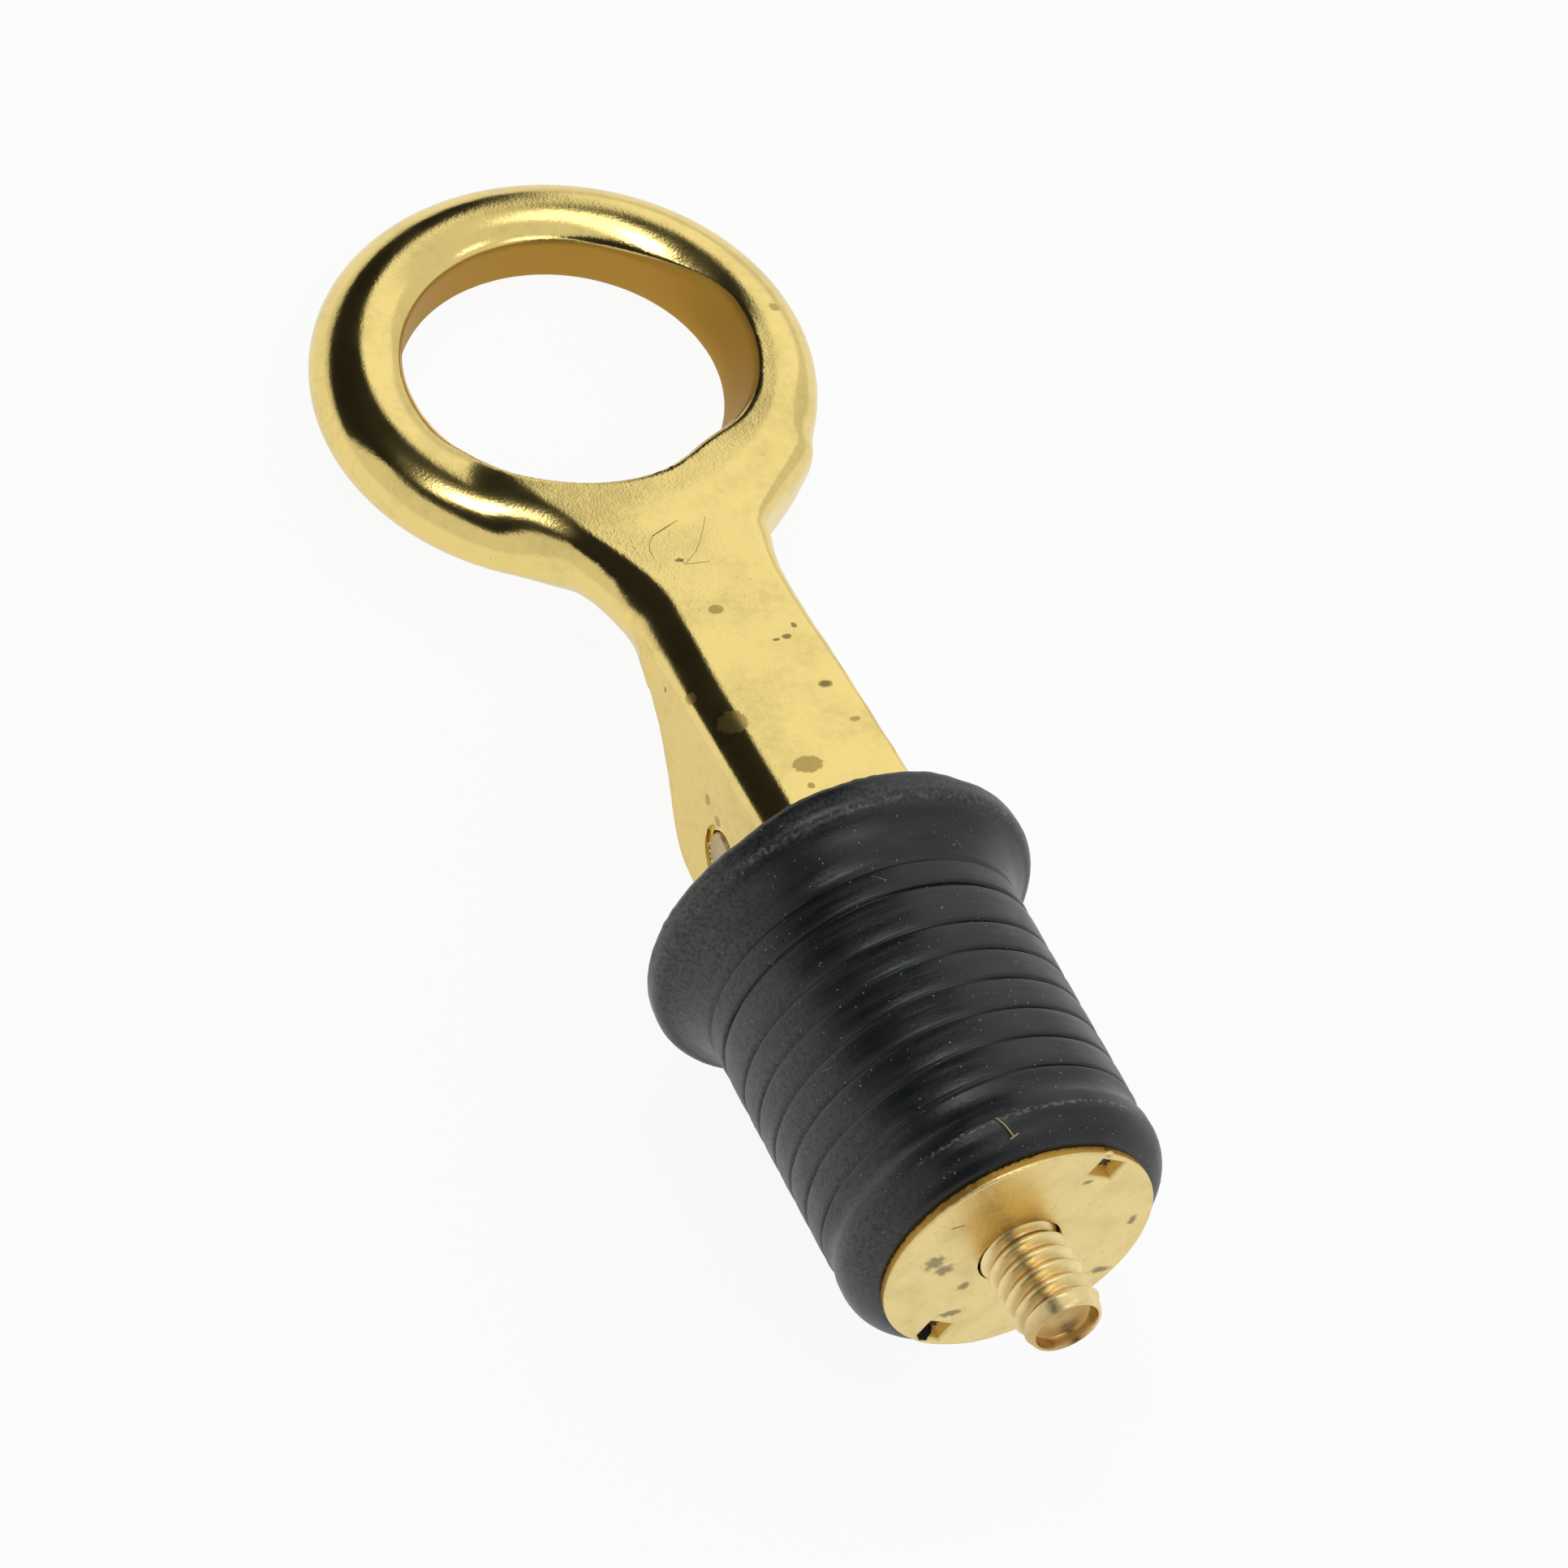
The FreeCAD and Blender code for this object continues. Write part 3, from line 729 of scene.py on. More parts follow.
@dataclass
class ThreadedStud:
    """Brass stud: rolled thread with a cupped end below, flat eye above."""

    crest: float = 3.13
    depth: float = 0.6
    pitch: float = 1.27
    end: float = -7.1
    cup_radius: float = 2.36
    cup_depth: float = 0.95
    shank: float = 3.1
    top: float = 36.6
    eye: float = 4.2
    eye_half: float = 2.5
    eye_bore: float = 1.8
    lean: tuple = (-0.3, 0.15, 0.0)
    lean_from: float = 0.8
    around: int = 128

    def bent(self, points: np.ndarray) -> np.ndarray:
        """Bring the shaft's lower end a little off the axis.

        Args:
            points: Points whose last axis is x, y, z.

        Returns:
            The shifted points.
        """
        share = (self.lean_from - points[..., 2:]) / (self.lean_from - self.end)
        return points + np.array(self.lean) * np.clip(share, 0, 1)

    def build_shaft(self) -> Object:
        """Make the cupped and threaded shaft.

        Returns:
            The piece.
        """
        floor = self.end + self.cup_depth
        cup = [
            (0.3, 0.22), (1.0, 0.16), (1.6, 0.1), (2.05, 0.03), (2.2, -0.03), (2.27, -0.14),
            (2.3, -0.4),
        ]
        lip = [
            (self.cup_radius, 0.2), (2.42, 0.05), (2.5, 0.0), (2.6, 0.01), (2.67, 0.08),
            (2.8, 0.4), (2.95, 0.75), (3.02, 0.95),
        ]
        threaded = np.arange(self.end + 1.05, 3.0, 0.055)
        profile = np.vstack([
            np.array(cup) + [0, floor], np.array(lip) + [0, self.end],
            np.stack([np.full(len(threaded), self.crest), threaded], axis=1),
            [(self.shank, height) for height in (3.2, 20.0, self.top)],
        ])
        turn = np.linspace(0, 2 * math.pi, self.around, endpoint=False)
        radii = np.repeat(profile[:, :1], self.around, axis=1)
        heights = np.repeat(profile[:, 1:], self.around, axis=1)
        phase = heights / self.pitch - turn / (2 * math.pi)
        valley = (0.5 - 0.5 * np.cos(2 * math.pi * phase)) ** 0.9
        strength = eased(heights, self.end + 0.6, self.end + 1.3) * (1 - eased(heights, 2.2, 3.0))
        strength = strength * (profile[:, :1] > 2.9)
        radii = radii - self.depth * valley * strength
        points = np.stack([radii * np.cos(turn), radii * np.sin(turn), heights], axis=-1)
        poles = np.array([[0, 0, floor + 0.23], [0, 0, self.top]])
        return make_piece("stud_shaft", *turned_grid(self.bent(points), self.bent(poles)))

    def eye_distance(self, x: np.ndarray, y: np.ndarray, z: np.ndarray) -> np.ndarray:
        """Signed distance to the flat eye with its pin bore.

        Args:
            x: Plug X of each point.
            y: Plug Y of each point.
            z: Plug Z of each point.

        Returns:
            Distances, negative inside the brass.
        """
        away = np.hypot(y, z - PIN_HEIGHT)
        neck = np.maximum(np.abs(y) - 3.0, np.abs(z - 37.5) - 1.9)
        shank = np.maximum(np.hypot(x, y) - self.shank, np.abs(z - 34.6) - 2.6)
        flat = blended_join(np.minimum(away - self.eye, neck), shank, 0.4)
        return np.maximum(rounded_meet(flat, np.abs(x) - self.eye_half, 0.3), self.eye_bore - away)

    def build_eye(self) -> Object:
        """Make the flat eye."""
        skin = Skin(self.eye_distance, (-3.0, -4.8, 31.4), (3.0, 4.8, 45.0), 0.25)
        return make_piece("stud_eye", *skin.build())


@dataclass
class BottomWasher:
    """Sheet brass washer with two punched holes whose lips grip the rubber."""

    radius: float = 10.46
    thick: float = 0.8
    edge: float = 0.14
    bore: float = 3.25
    reach: float = 9.08
    bearing: float = 125.5
    turn: float = 30.5
    half_long: float = 1.3
    half_short: float = 1.0
    lip: float = 0.28
    lip_top: float = 1.75
    burr: tuple = (-5.15, 9.0, 0.15)
    burr_radius: float = 0.32

    def distance(self, x: np.ndarray, y: np.ndarray, z: np.ndarray) -> np.ndarray:
        """Signed distance to the washer.

        Args:
            x: Plug X of each point.
            y: Plug Y of each point.
            z: Plug Z of each point.

        Returns:
            Distances, negative inside the brass.
        """
        radius, spin = np.hypot(x, y), math.radians(self.turn)
        wave = 0.03 * np.sin(0.35 * x + 1.0) * np.cos(0.4 * y) + 0.02 * np.sin(0.9 * y + x)
        level = z - self.thick / 2 - wave
        plate = rounded_meet(radius - self.radius, np.abs(level) - self.thick / 2, self.edge)
        snag = np.hypot(np.hypot(x - self.burr[0], y - self.burr[1]), z - self.burr[2])
        plate = blended_join(plate, snag - self.burr_radius, 0.25)
        plate = np.maximum(plate, self.bore - radius)
        deep = np.maximum(z, 0)
        for side in (0.0, 180.0):
            place = math.radians(self.bearing + side)
            away_x = x - self.reach * math.cos(place)
            away_y = y - self.reach * math.sin(place)
            along = away_x * math.cos(spin) + away_y * math.sin(spin)
            across = away_y * math.cos(spin) - away_x * math.sin(spin)
            mouth = np.maximum(
                np.abs(along + 0.12 * deep) - self.half_long + 0.95 * deep,
                np.abs(across - 0.1 * deep) - self.half_short + 0.8 * deep,
            )
            lip = np.maximum(np.abs(mouth + 0.02) - self.lip, z - self.lip_top)
            lip = np.maximum(lip, -z + 0.3)
            plate = np.minimum(np.maximum(plate, -mouth * 0.85), np.maximum(lip, -mouth))
        return plate

    def build(self) -> Object:
        """Make the washer's mesh."""
        skin = Skin(self.distance, (-10.9, -10.9, -0.35), (10.9, 10.9, 2.1), 0.14)
        return make_piece("bottom_sheet", *skin.build())


@dataclass
class PivotPin:
    """Cross pin with softly domed ends."""

    radius: float = 1.75
    half: float = 6.08
    edge: float = 0.45
    dome: float = 0.01
    around: int = 48

    def build(self) -> Object:
        """Make the pin's mesh.

        Returns:
            The piece.
        """
        edge = arc((self.half - self.edge, self.radius - self.edge), self.edge, 90, 20)
        right = np.vstack([edge, [[self.half, 0.9], [self.half + self.dome, 0.3]]])
        profile = np.vstack([right[::-1] * [-1, 1], right])
        turn = np.linspace(0, 2 * math.pi, self.around, endpoint=False)
        along, radius = np.repeat(profile[:, :1], self.around, axis=1), profile[:, 1:]
        points = np.stack(
            [along, radius * np.cos(turn), PIN_HEIGHT + radius * np.sin(turn)], axis=-1
        )
        end = self.half + self.dome
        poles = np.array([[-end, 0, PIN_HEIGHT], [end, 0, PIN_HEIGHT]])
        return make_piece("pin_bar", *turned_grid(points, poles))


def thread_line(name: str, way: np.ndarray, radius: float) -> Object:
    """Make a fine round line along a way, such as a hair or a fibre.

    Args:
        name: Name of the piece.
        way: Plug points along it, shape (n, 3).
        radius: Its radius in millimetres.

    Returns:
        The object.
    """
    line = np.stack([
        np.interp(np.linspace(0, 1, 4 * len(way)), np.linspace(0, 1, len(way)), way[:, axis])
        for axis in range(3)
    ], axis=1)
    ahead = np.gradient(line, axis=0)
    ahead /= np.linalg.norm(ahead, axis=1, keepdims=True)
    side = np.cross(ahead, [0.3, 0.9, 0.2])
    side /= np.linalg.norm(side, axis=1, keepdims=True)
    over = np.cross(ahead, side)
    turn = np.linspace(0, 2 * math.pi, 6, endpoint=False)[None, :, None]
    points = line[:, None] + radius * (np.cos(turn) * side[:, None] + np.sin(turn) * over[:, None])
    return make_piece(name, *turned_grid(points, line[[0, -1]]), Shading.SMOOTH)


def feed(tree: NodeTree, node: Node, terms: dict[str | int, Term]) -> None:
    """Link a node's inputs to other sockets, or set them to constants.

    Args:
        tree: Node tree that the node is in.
        node: Node that is fed.
        terms: What each input gets, by its name or number.
    """
    for key, term in terms.items():
        term = term.socket if isinstance(term, Value) else term
        if isinstance(term, NodeSocket):
            tree.links.new(term, node.inputs[key])
        else:
            node.inputs[key].default_value = term


def add_node(
    tree: NodeTree, kind: str, terms: dict[str | int, Term], **settings: str
) -> Node:
    """Add a node, set its options and feed its inputs.

    Args:
        tree: Node tree that it goes into.
        kind: Type of the node.
        terms: What each input gets, by its name or number.
        settings: Options of the node by name.

    Returns:
        The node.
    """
    node = tree.nodes.new(kind)
    for option, choice in settings.items():
        setattr(node, option, choice)
    feed(tree, node, terms)
    return node


@dataclass(frozen=True)
class Value:
    """Number in a shader tree. What is worked out from it becomes a Math node."""

    tree: NodeTree
    socket: NodeSocket

    def joined(self, operation: str, *others: Term) -> Value:
        """Work out a Math node on this value and others.

        Args:
            operation: What the node does.
            others: What its other inputs get.

        Returns:
            The result.
        """
        terms = dict(enumerate((self, *others)))
        node = add_node(self.tree, "ShaderNodeMath", terms, operation=operation)
        return Value(self.tree, node.outputs[0])

    def __add__(self, other: Term) -> Value:
        """Sum."""
        return self.joined("ADD", other)

    def __sub__(self, other: Term) -> Value:
        """Difference."""
        return self.joined("SUBTRACT", other)

    def __mul__(self, other: Term) -> Value:
        """Product."""
        return self.joined("MULTIPLY", other)

    def __truediv__(self, other: Term) -> Value:
        """Quotient."""
        return self.joined("DIVIDE", other)

    def __pow__(self, other: Term) -> Value:
        """Power."""
        return self.joined("POWER", other)


Term = float | tuple | NodeSocket | Value


class Graph:
    """Shader nodes of one finish, worked out in plug millimetres."""

    def __init__(self, name: str) -> None:
        """Start a material with its point in plug millimetres.

        Args:
            name: Name of the material.
        """
        self.material = bpy.data.materials.new(name)
        self.material.use_nodes = True
        self.tree = self.material.node_tree
        seen = self.tree.nodes.new("ShaderNodeTexCoord").outputs["Object"]
        self.point = self.mapped(
            seen, (1000.0,) * 3, (0, 0, LAY.seat), (-(math.pi / 2 + LAY.tilt), 0, 0)
        )
        split = add_node(self.tree, "ShaderNodeSeparateXYZ", {0: self.point})
        self.x, self.y, self.z = (Value(self.tree, socket) for socket in split.outputs)

    def mapped(
        self, vector: Term, scale: tuple, shift: tuple, turn: tuple = (0, 0, 0)
    ) -> NodeSocket:
        """Vector that is scaled, turned by angles about x, y and z, then shifted."""
        return add_node(self.tree, "ShaderNodeMapping", {
            "Vector": vector, "Scale": scale, "Rotation": turn, "Location": shift,
        }).outputs["Vector"]

    def noise(
        self, scale: float, detail: float = 3.0, stretch: tuple = (1, 1, 1), shift: float = 0.0
    ) -> Value:
        """Noise over plug millimetres.

        Args:
            scale: Features per millimetre.
            detail: Number of finer layers.
            stretch: Scale of each axis before the noise.
            shift: Offset that makes one noise differ from another.

        Returns:
            Value from 0 to 1.
        """
        moved = self.mapped(self.point, stretch, (shift,) * 3)
        terms = {"Vector": moved, "Scale": scale, "Detail": detail}
        return Value(self.tree, add_node(self.tree, "ShaderNodeTexNoise", terms).outputs["Fac"])

    def step(self, value: Term, low: float, high: float, most: float = 1.0) -> Value:
        """Smooth rise from 0 at low to most at high, low above high for a fall."""
        ends = (most, 0.0) if low > high else (0.0, most)
        return Value(self.tree, add_node(self.tree, "ShaderNodeMapRange", {
            "Value": value, "From Min": min(low, high), "From Max": max(low, high),
            "To Min": ends[0], "To Max": ends[1],
        }, interpolation_type="SMOOTHSTEP").outputs["Result"])

    def mix(self, share: Term, first: Term, second: Term) -> NodeSocket:
        """Colour between two colours.

        Args:
            share: Share of the second colour.
            first: First colour.
            second: Second colour.

        Returns:
            The mixed colour.
        """
        terms = {0: share, 6: first, 7: second}
        whole = {k: (*c, 1.0) if isinstance(c, tuple) else c for k, c in terms.items()}
        return add_node(self.tree, "ShaderNodeMix", whole, data_type="RGBA").outputs[2]

    def most(self, first: Value, *masks: Value) -> Value:
        """Join masks by the largest of them.

        Args:
            first: First mask.
            masks: The others.

        Returns:
            Their largest value.
        """
        for mask in masks:
            first = first.joined("MAXIMUM", mask)
        return first

    def spot(
        self, centre: tuple, reach: tuple, ragged: float = 0.3, soft: float = 0.12
    ) -> Value:
        """Mask of a ragged oval spot.

        Args:
            centre: Plug point at its middle.
            reach: Half its size along each axis.
            ragged: How much its edge wanders.
            soft: Half the width over which it fades.

        Returns:
            Mask, 1 inside the spot.
        """
        scale = tuple(1 / half for half in reach)
        shift = tuple(-c / half for c, half in zip(centre, reach))
        moved = self.mapped(self.point, scale, shift)
        length = add_node(self.tree, "ShaderNodeVectorMath", {0: moved}, operation="LENGTH")
        wander = self.noise(2.6, 4.0, shift=centre[0]) * (ragged * 2)
        away = Value(self.tree, length.outputs["Value"]) + wander
        return self.step(away, 1.0 + ragged + soft, 1.0 + ragged - soft)

    def finish(
        self, colour: Term, rough: Term, height: Term, relief: float, metal: float
    ) -> Material:
        """Join colour, roughness and relief to the shader.

        Args:
            colour: Base colour.
            rough: Roughness.
            height: Height of the fine relief, 0 to 1.
            relief: Depth of that relief in millimetres.
            metal: Metallic share.

        Returns:
            The material.
        """
        bump = add_node(self.tree, "ShaderNodeBump", {
            "Strength": 1.0, "Distance": relief / 1000, "Height": height,
        })
        feed(self.tree, self.tree.nodes["Principled BSDF"], {
            "Normal": bump.outputs["Normal"], "Base Color": colour, "Roughness": rough,
            "Metallic": metal,
        })
        return self.material


@dataclass(frozen=True)
class CastBrass:
    """Polished casting: matt inside the ring, ground on the flanks, spotted with tarnish."""

    gold: tuple = (0.94, 0.735, 0.265)
    olive: tuple = (0.7, 0.54, 0.19)
    ochre: tuple = (0.5, 0.29, 0.05)
    stain: tuple = (0.5, 0.36, 0.1)
    dark: tuple = (0.2, 0.16, 0.07)
    rough: float = 0.125
    wall_rough: float = 0.5
    ground_rough: float = 0.42
    spot_rough: float = 0.28
    relief: float = 0.009
    ground_x: tuple = (6.14, 6.18)
    ground_z: tuple = (57.2, 56.2)
    spots: tuple = (
        ((0.49, 8.46, 56.6), (0.62, 3, 0.5)), ((-4.19, 9.08, 46.7), (0.6, 3, 0.42)),
        ((4.21, 9.19, 45.0), (1.15, 3, 1.2)), ((0.71, 9.56, 39.2), (1.2, 3, 0.85)),
        ((-4.72, 9.34, 42.6), (0.42, 3, 0.26)), ((-17.37, 8.2, 86.3), (0.45, 3, 0.45)),
        ((1.36, 9.69, 37.1), (0.3, 3, 0.3)), ((6.3, 3.26, 43.0), (1, 0.5, 0.4)),
        ((6.3, 2.94, 41.03), (1, 0.4, 0.5)), ((6.3, 8.22, 48.94), (1, 0.6, 0.7)),
    )
    dots: tuple = (
        ((-4.55, 8.67, 53.3), (0.24, 3, 0.3)), ((-3.48, 8.73, 52.3), (0.42, 3, 0.26)),
        ((-2.6, 8.74, 52.2), (0.3, 3, 0.15)), ((0.9, 8.0, 62.6), (0.35, 3, 0.22)),
        ((-4.19, 9.08, 46.7), (0.4, 3, 0.28)), ((6.3, 5.87, 52.06), (1, 0.25, 0.2)),
    )

    def inner_wall(self, graph: Graph) -> Value:
        """Mask of the ring's matt inner wall, up to its bevelled edge.

        Args:
            graph: Shader nodes that the mask is worked out in.

        Returns:
            Mask, 1 on the wall.
        """
        lever = RingLever()
        lean = math.sin(lever.ring_lean)
        across, front = graph.x - lever.ring_shift, graph.y - lever.ring_mid
        rise = front * lean + (graph.z - lever.ring_height) * math.cos(lever.ring_lean)
        radius = (across ** 2.0 + rise ** 2.0) ** 0.5
        depth = front - across * -math.sin(lever.ring_twist) - rise * lean
        near, far = lever.flare_across
        flared = graph.step(across, -near, -far) * graph.step(rise, *lever.flare_rise[::-1])
        tilt = (depth + lever.bevel_back) / lever.bevel_deep
        tilt = tilt.joined("MINIMUM", 1.0).joined("MAXIMUM", 0.0)
        sunk = radius - flared * lever.flare * tilt
        return graph.step(sunk, lever.wall_radius + 0.34, lever.wall_radius + 0.24)

    def material(self) -> Material:
        """Make the material.

        Returns:
            The material.
        """
        graph = Graph("cast_brass")
        cloud = graph.noise(0.2, 4.0)
        fine = graph.noise(1.3, 6.0, shift=7.0)
        mottle = graph.step(cloud * 0.6 + fine * 0.4, 0.42, 0.72, 0.6)
        wall = self.inner_wall(graph)
        ground = graph.step(graph.x, *self.ground_x) * graph.step(graph.z, *self.ground_z)
        pits = graph.step(graph.noise(2.6, 2.0, shift=3.0), 0.70, 0.76, 0.55)
        marks = graph.most(*(graph.spot(*spot) for spot in self.spots))
        dots = graph.most(*(graph.spot(*dot, 0.5, 0.2) for dot in self.dots))
        colour = graph.mix(mottle, self.gold, self.olive)
        colour = graph.mix(wall, colour, self.ochre)
        colour = graph.mix(graph.most(marks, pits) * 0.8, colour, self.stain)
        colour = graph.mix(dots * 0.75, colour, self.dark)
        rough = graph.most(
            graph.step(cloud, 0.3, 0.75, 0.05) + self.rough, wall * self.wall_rough,
            ground * self.ground_rough, graph.most(marks, dots) * self.spot_rough,
        )
        height = graph.noise(4.5, 4.0, shift=1.0) + graph.noise(0.5, 2.0, shift=2.0)
        return graph.finish(colour, rough, height, self.relief, 1.0)


@dataclass(frozen=True)
class PlainBrass:
    """Drawn or rolled brass with fine marks, a few stains and, where given, painted shade in
    hollows.
    """

    name: str
    light: tuple
    dark: tuple
    rough: float
    relief: float
    stains: tuple = ()
    # Colour of painted shade inside the punched holes.
    inside: tuple = ()
    # Spot of painted shadow in one punched hole, in near black.
    hole_shadow_spot: tuple = ()
    # Reach from the axis inside which the thread roots and the cup are painted in shade.
    root: float = 0.0
    stained: tuple = (0.2, 0.16, 0.08)
    black: tuple = (0.012, 0.011, 0.008)
    shade: tuple = (0.55, 0.34, 0.12)

    def material(self) -> Material:
        """Make the material.

        Returns:
            The material.
        """
        graph = Graph(self.name)
        cloud = graph.noise(0.35, 5.0)
        fine = graph.noise(2.4, 5.0, shift=5.0)
        colour = graph.mix(graph.step(cloud, 0.4, 0.75, 0.55), self.light, self.dark)
        masks = (graph.spot(*stain, 0.9, 0.45) for stain in self.stains)
        specks = graph.most(graph.step(fine, 0.66, 0.74, 0.5), *masks)
        colour = graph.mix(specks * 0.75, colour, self.stained)
        # Painted shade inside the punched holes, then a painted shadow spot in one of them.
        if self.inside:
            deep = graph.step(graph.z, 0.1, 0.22) * graph.step(graph.z, 6.0, 5.0)
            colour = graph.mix(deep, colour, self.inside)
            colour = graph.mix(graph.spot(*self.hole_shadow_spot, 0.3, 0.1), colour, self.black)
        # Painted shade in the thread roots and the cupped end, near the axis.
        if self.root:
            reach = (graph.x ** 2.0 + graph.y ** 2.0) ** 0.5
            colour = graph.mix(graph.step(reach, 3.0, self.root, 0.7), colour, self.shade)
        rough = graph.step(fine, 0.3, 0.8, 0.15) + self.rough
        return graph.finish(colour, rough, fine, self.relief, 1.0)


@dataclass(frozen=True)
class BlackRubber:
    """Black moulded rubber: satin, streaked round its axis, dusty at its edges, with painted light
    on its left side.
    """

    base: tuple = (0.003, 0.004, 0.005)
    worn: tuple = (0.012, 0.015, 0.017)
    # Colour of the dust, also laid over the left side as painted light.
    dust_and_painted_light: tuple = (0.2, 0.2, 0.165)
    rough: float = 0.3
    relief: float = 0.014
    rim: float = 30.2
    scuffed: float = 3.15

    def material(self) -> Material:
        """Make the material.

        Returns:
            The material.
        """
        graph = Graph("black_rubber")
        streaks = graph.noise(0.5, 5.0, stretch=(0.35, 0.35, 3.0))
        cloud = graph.noise(0.3, 4.0, shift=9.0)
        grain = graph.noise(3.2, 4.0, shift=4.0)
        top = graph.step(graph.z, 29.5, 30.0) * graph.step(graph.z, 32.4, 31.4)
        film = top * cloud * graph.step(grain, 0.3, 0.7, 0.42)
        corner = graph.step((graph.z - self.rim).joined("ABSOLUTE"), 0.45, 0.1)
        corner *= graph.step(graph.noise(2.8, 4.0, shift=6.0), 0.46, 0.66, 0.5)
        # Painted light over the left side, broken up by the grain like dust.
        left = graph.step(graph.x, 7.0, 14.0) * graph.step(grain, 0.3, 0.6, 0.3)
        scuff = graph.step((graph.z - self.scuffed).joined("ABSOLUTE"), 0.22, 0.05)
        scuff = scuff * graph.step(grain, 0.42, 0.62, 0.6) * graph.step(graph.y, 8.5, 10.2)
        specks = graph.step(grain, 0.69, 0.75, 0.4)
        colour = graph.mix(graph.step(streaks, 0.35, 0.7), self.base, self.worn)
        colour = graph.mix(graph.most(film, scuff, specks, corner, left), colour, self.dust_and_painted_light)
        rough = graph.step(cloud, 0.3, 0.7, 0.1) + self.rough
        return graph.finish(colour, rough, grain + streaks * 3.0, self.relief, 0.0)


@dataclass(frozen=True)
class Dull:
    """Plain dull finish of a hair, a fibre, a grain of dust, a card or the floor."""

    name: str
    colour: tuple

    def material(self) -> Material:
        """Make the material.

        Returns:
            The material.
        """
        made = bpy.data.materials.new(self.name)
        made.use_nodes = True
        feed(made.node_tree, made.node_tree.nodes["Principled BSDF"], {
            "Base Color": (*self.colour, 1), "Roughness": 1.0, "Specular IOR Level": 0.0,
        })
        return made


class Grain(Enum):
    """What a scatter lays on a surface."""

    SPECK = "speck"
    FIBRE = "fibre"


@dataclass(frozen=True)
class Scatter:
    """Dust or fibres laid over a carrier by a node tree with a fixed seed."""

    name: str
    grain: Grain
    density: float
    size: float
    seed: int
    finish: Dull

    def shape(self, tree: NodeTree, size: NodeSocket) -> NodeSocket:
        """Add the nodes of one grain.

        Args:
            tree: Node tree that they go into.
            size: Size of the grain.

        Returns:
            The grain's geometry.
        """
        if self.grain is Grain.SPECK:
            terms = {"Subdivisions": 1, "Radius": size}
            return add_node(tree, "GeometryNodeMeshIcoSphere", terms).outputs["Mesh"]
        bend = add_node(tree, "GeometryNodeCurvePrimitiveBezierSegment", {
            "Resolution": 5, "Start": (-1, 0, 0), "Start Handle": (-0.3, 0.6, 0),
            "End Handle": (0.3, -0.4, 0.1), "End": (1, 0.2, 0),
        })
        terms = {"Resolution": 5, "Radius": 0.055}
        ring = add_node(tree, "GeometryNodeCurvePrimitiveCircle", terms)
        tube = add_node(tree, "GeometryNodeCurveToMesh", {
            "Curve": bend.outputs["Curve"], "Profile Curve": ring.outputs["Curve"],
            "Fill Caps": True,
        })
        terms = {"Geometry": tube.outputs["Mesh"], "Scale": size}
        return add_node(tree, "GeometryNodeTransform", terms).outputs["Geometry"]

    def tree(self) -> NodeTree:
        """Build the node tree with its named inputs.

        Returns:
            The tree, which ends in real geometry with its finish.
        """
        tree = bpy.data.node_groups.new(self.name, "GeometryNodeTree")
        for label, way, kind in (
            ("Carrier", "INPUT", "Geometry"), ("Density", "INPUT", "Float"),
            ("Size", "INPUT", "Float"), ("Seed", "INPUT", "Int"),
            ("Finish", "INPUT", "Material"), ("Laid", "OUTPUT", "Geometry"),
        ):
            tree.interface.new_socket(label, in_out=way, socket_type="NodeSocket" + kind)
        given = tree.nodes.new("NodeGroupInput").outputs
        spread = add_node(tree, "GeometryNodeDistributePointsOnFaces", {
            "Mesh": given["Carrier"], "Density": given["Density"], "Seed": given["Seed"],
        })
        drawn, vector = "FunctionNodeRandomValue", {"data_type": "FLOAT_VECTOR"}
        scale = add_node(tree, drawn, {0: (0.35, 0.35, 0.2), 1: (1.5, 1.0, 0.6)}, **vector)
        angle = add_node(tree, drawn, {0: (0, 0, 0), 1: (0, 0, 6.28)}, **vector)
        laid = add_node(tree, "GeometryNodeInstanceOnPoints", {
            "Points": spread.outputs["Points"], "Instance": self.shape(tree, given["Size"]),
            "Rotation": spread.outputs["Rotation"], "Scale": scale.outputs[0],
        })
        spin = add_node(tree, "GeometryNodeRotateInstances", {
            "Instances": laid.outputs["Instances"], "Rotation": angle.outputs[0],
        })
        terms = {"Geometry": spin.outputs["Instances"]}
        real = add_node(tree, "GeometryNodeRealizeInstances", terms)
        dressed = add_node(tree, "GeometryNodeSetMaterial", {
            "Geometry": real.outputs["Geometry"], "Material": given["Finish"],
        })
        add_node(tree, "NodeGroupOutput", {"Laid": dressed.outputs["Geometry"]})
        return tree

    def lay(self, carrier: Object) -> Object:
        """Lay the grains over a carrier and keep them as a plain mesh.

        Args:
            carrier: Object whose surface is strewn.

        Returns:
            The new object, at the origin.
        """
        tree = self.tree()
        modifier = carrier.modifiers.new(self.name, "NODES")
        modifier.node_group = tree
        given = {
            "Density": self.density, "Size": self.size, "Seed": self.seed,
            "Finish": self.finish.material(),
        }
        for item in tree.interface.items_tree:
            if item.in_out == "INPUT" and item.name in given:
                modifier[item.identifier] = given[item.name]
        bpy.context.view_layer.update()
        graph = bpy.context.evaluated_depsgraph_get()
        mesh = bpy.data.meshes.new_from_object(carrier.evaluated_get(graph))
        carrier.modifiers.remove(modifier)
        mesh.name = self.name
        log.info("%s: %d faces", self.name, len(mesh.polygons))
        return add_object(self.name, mesh)


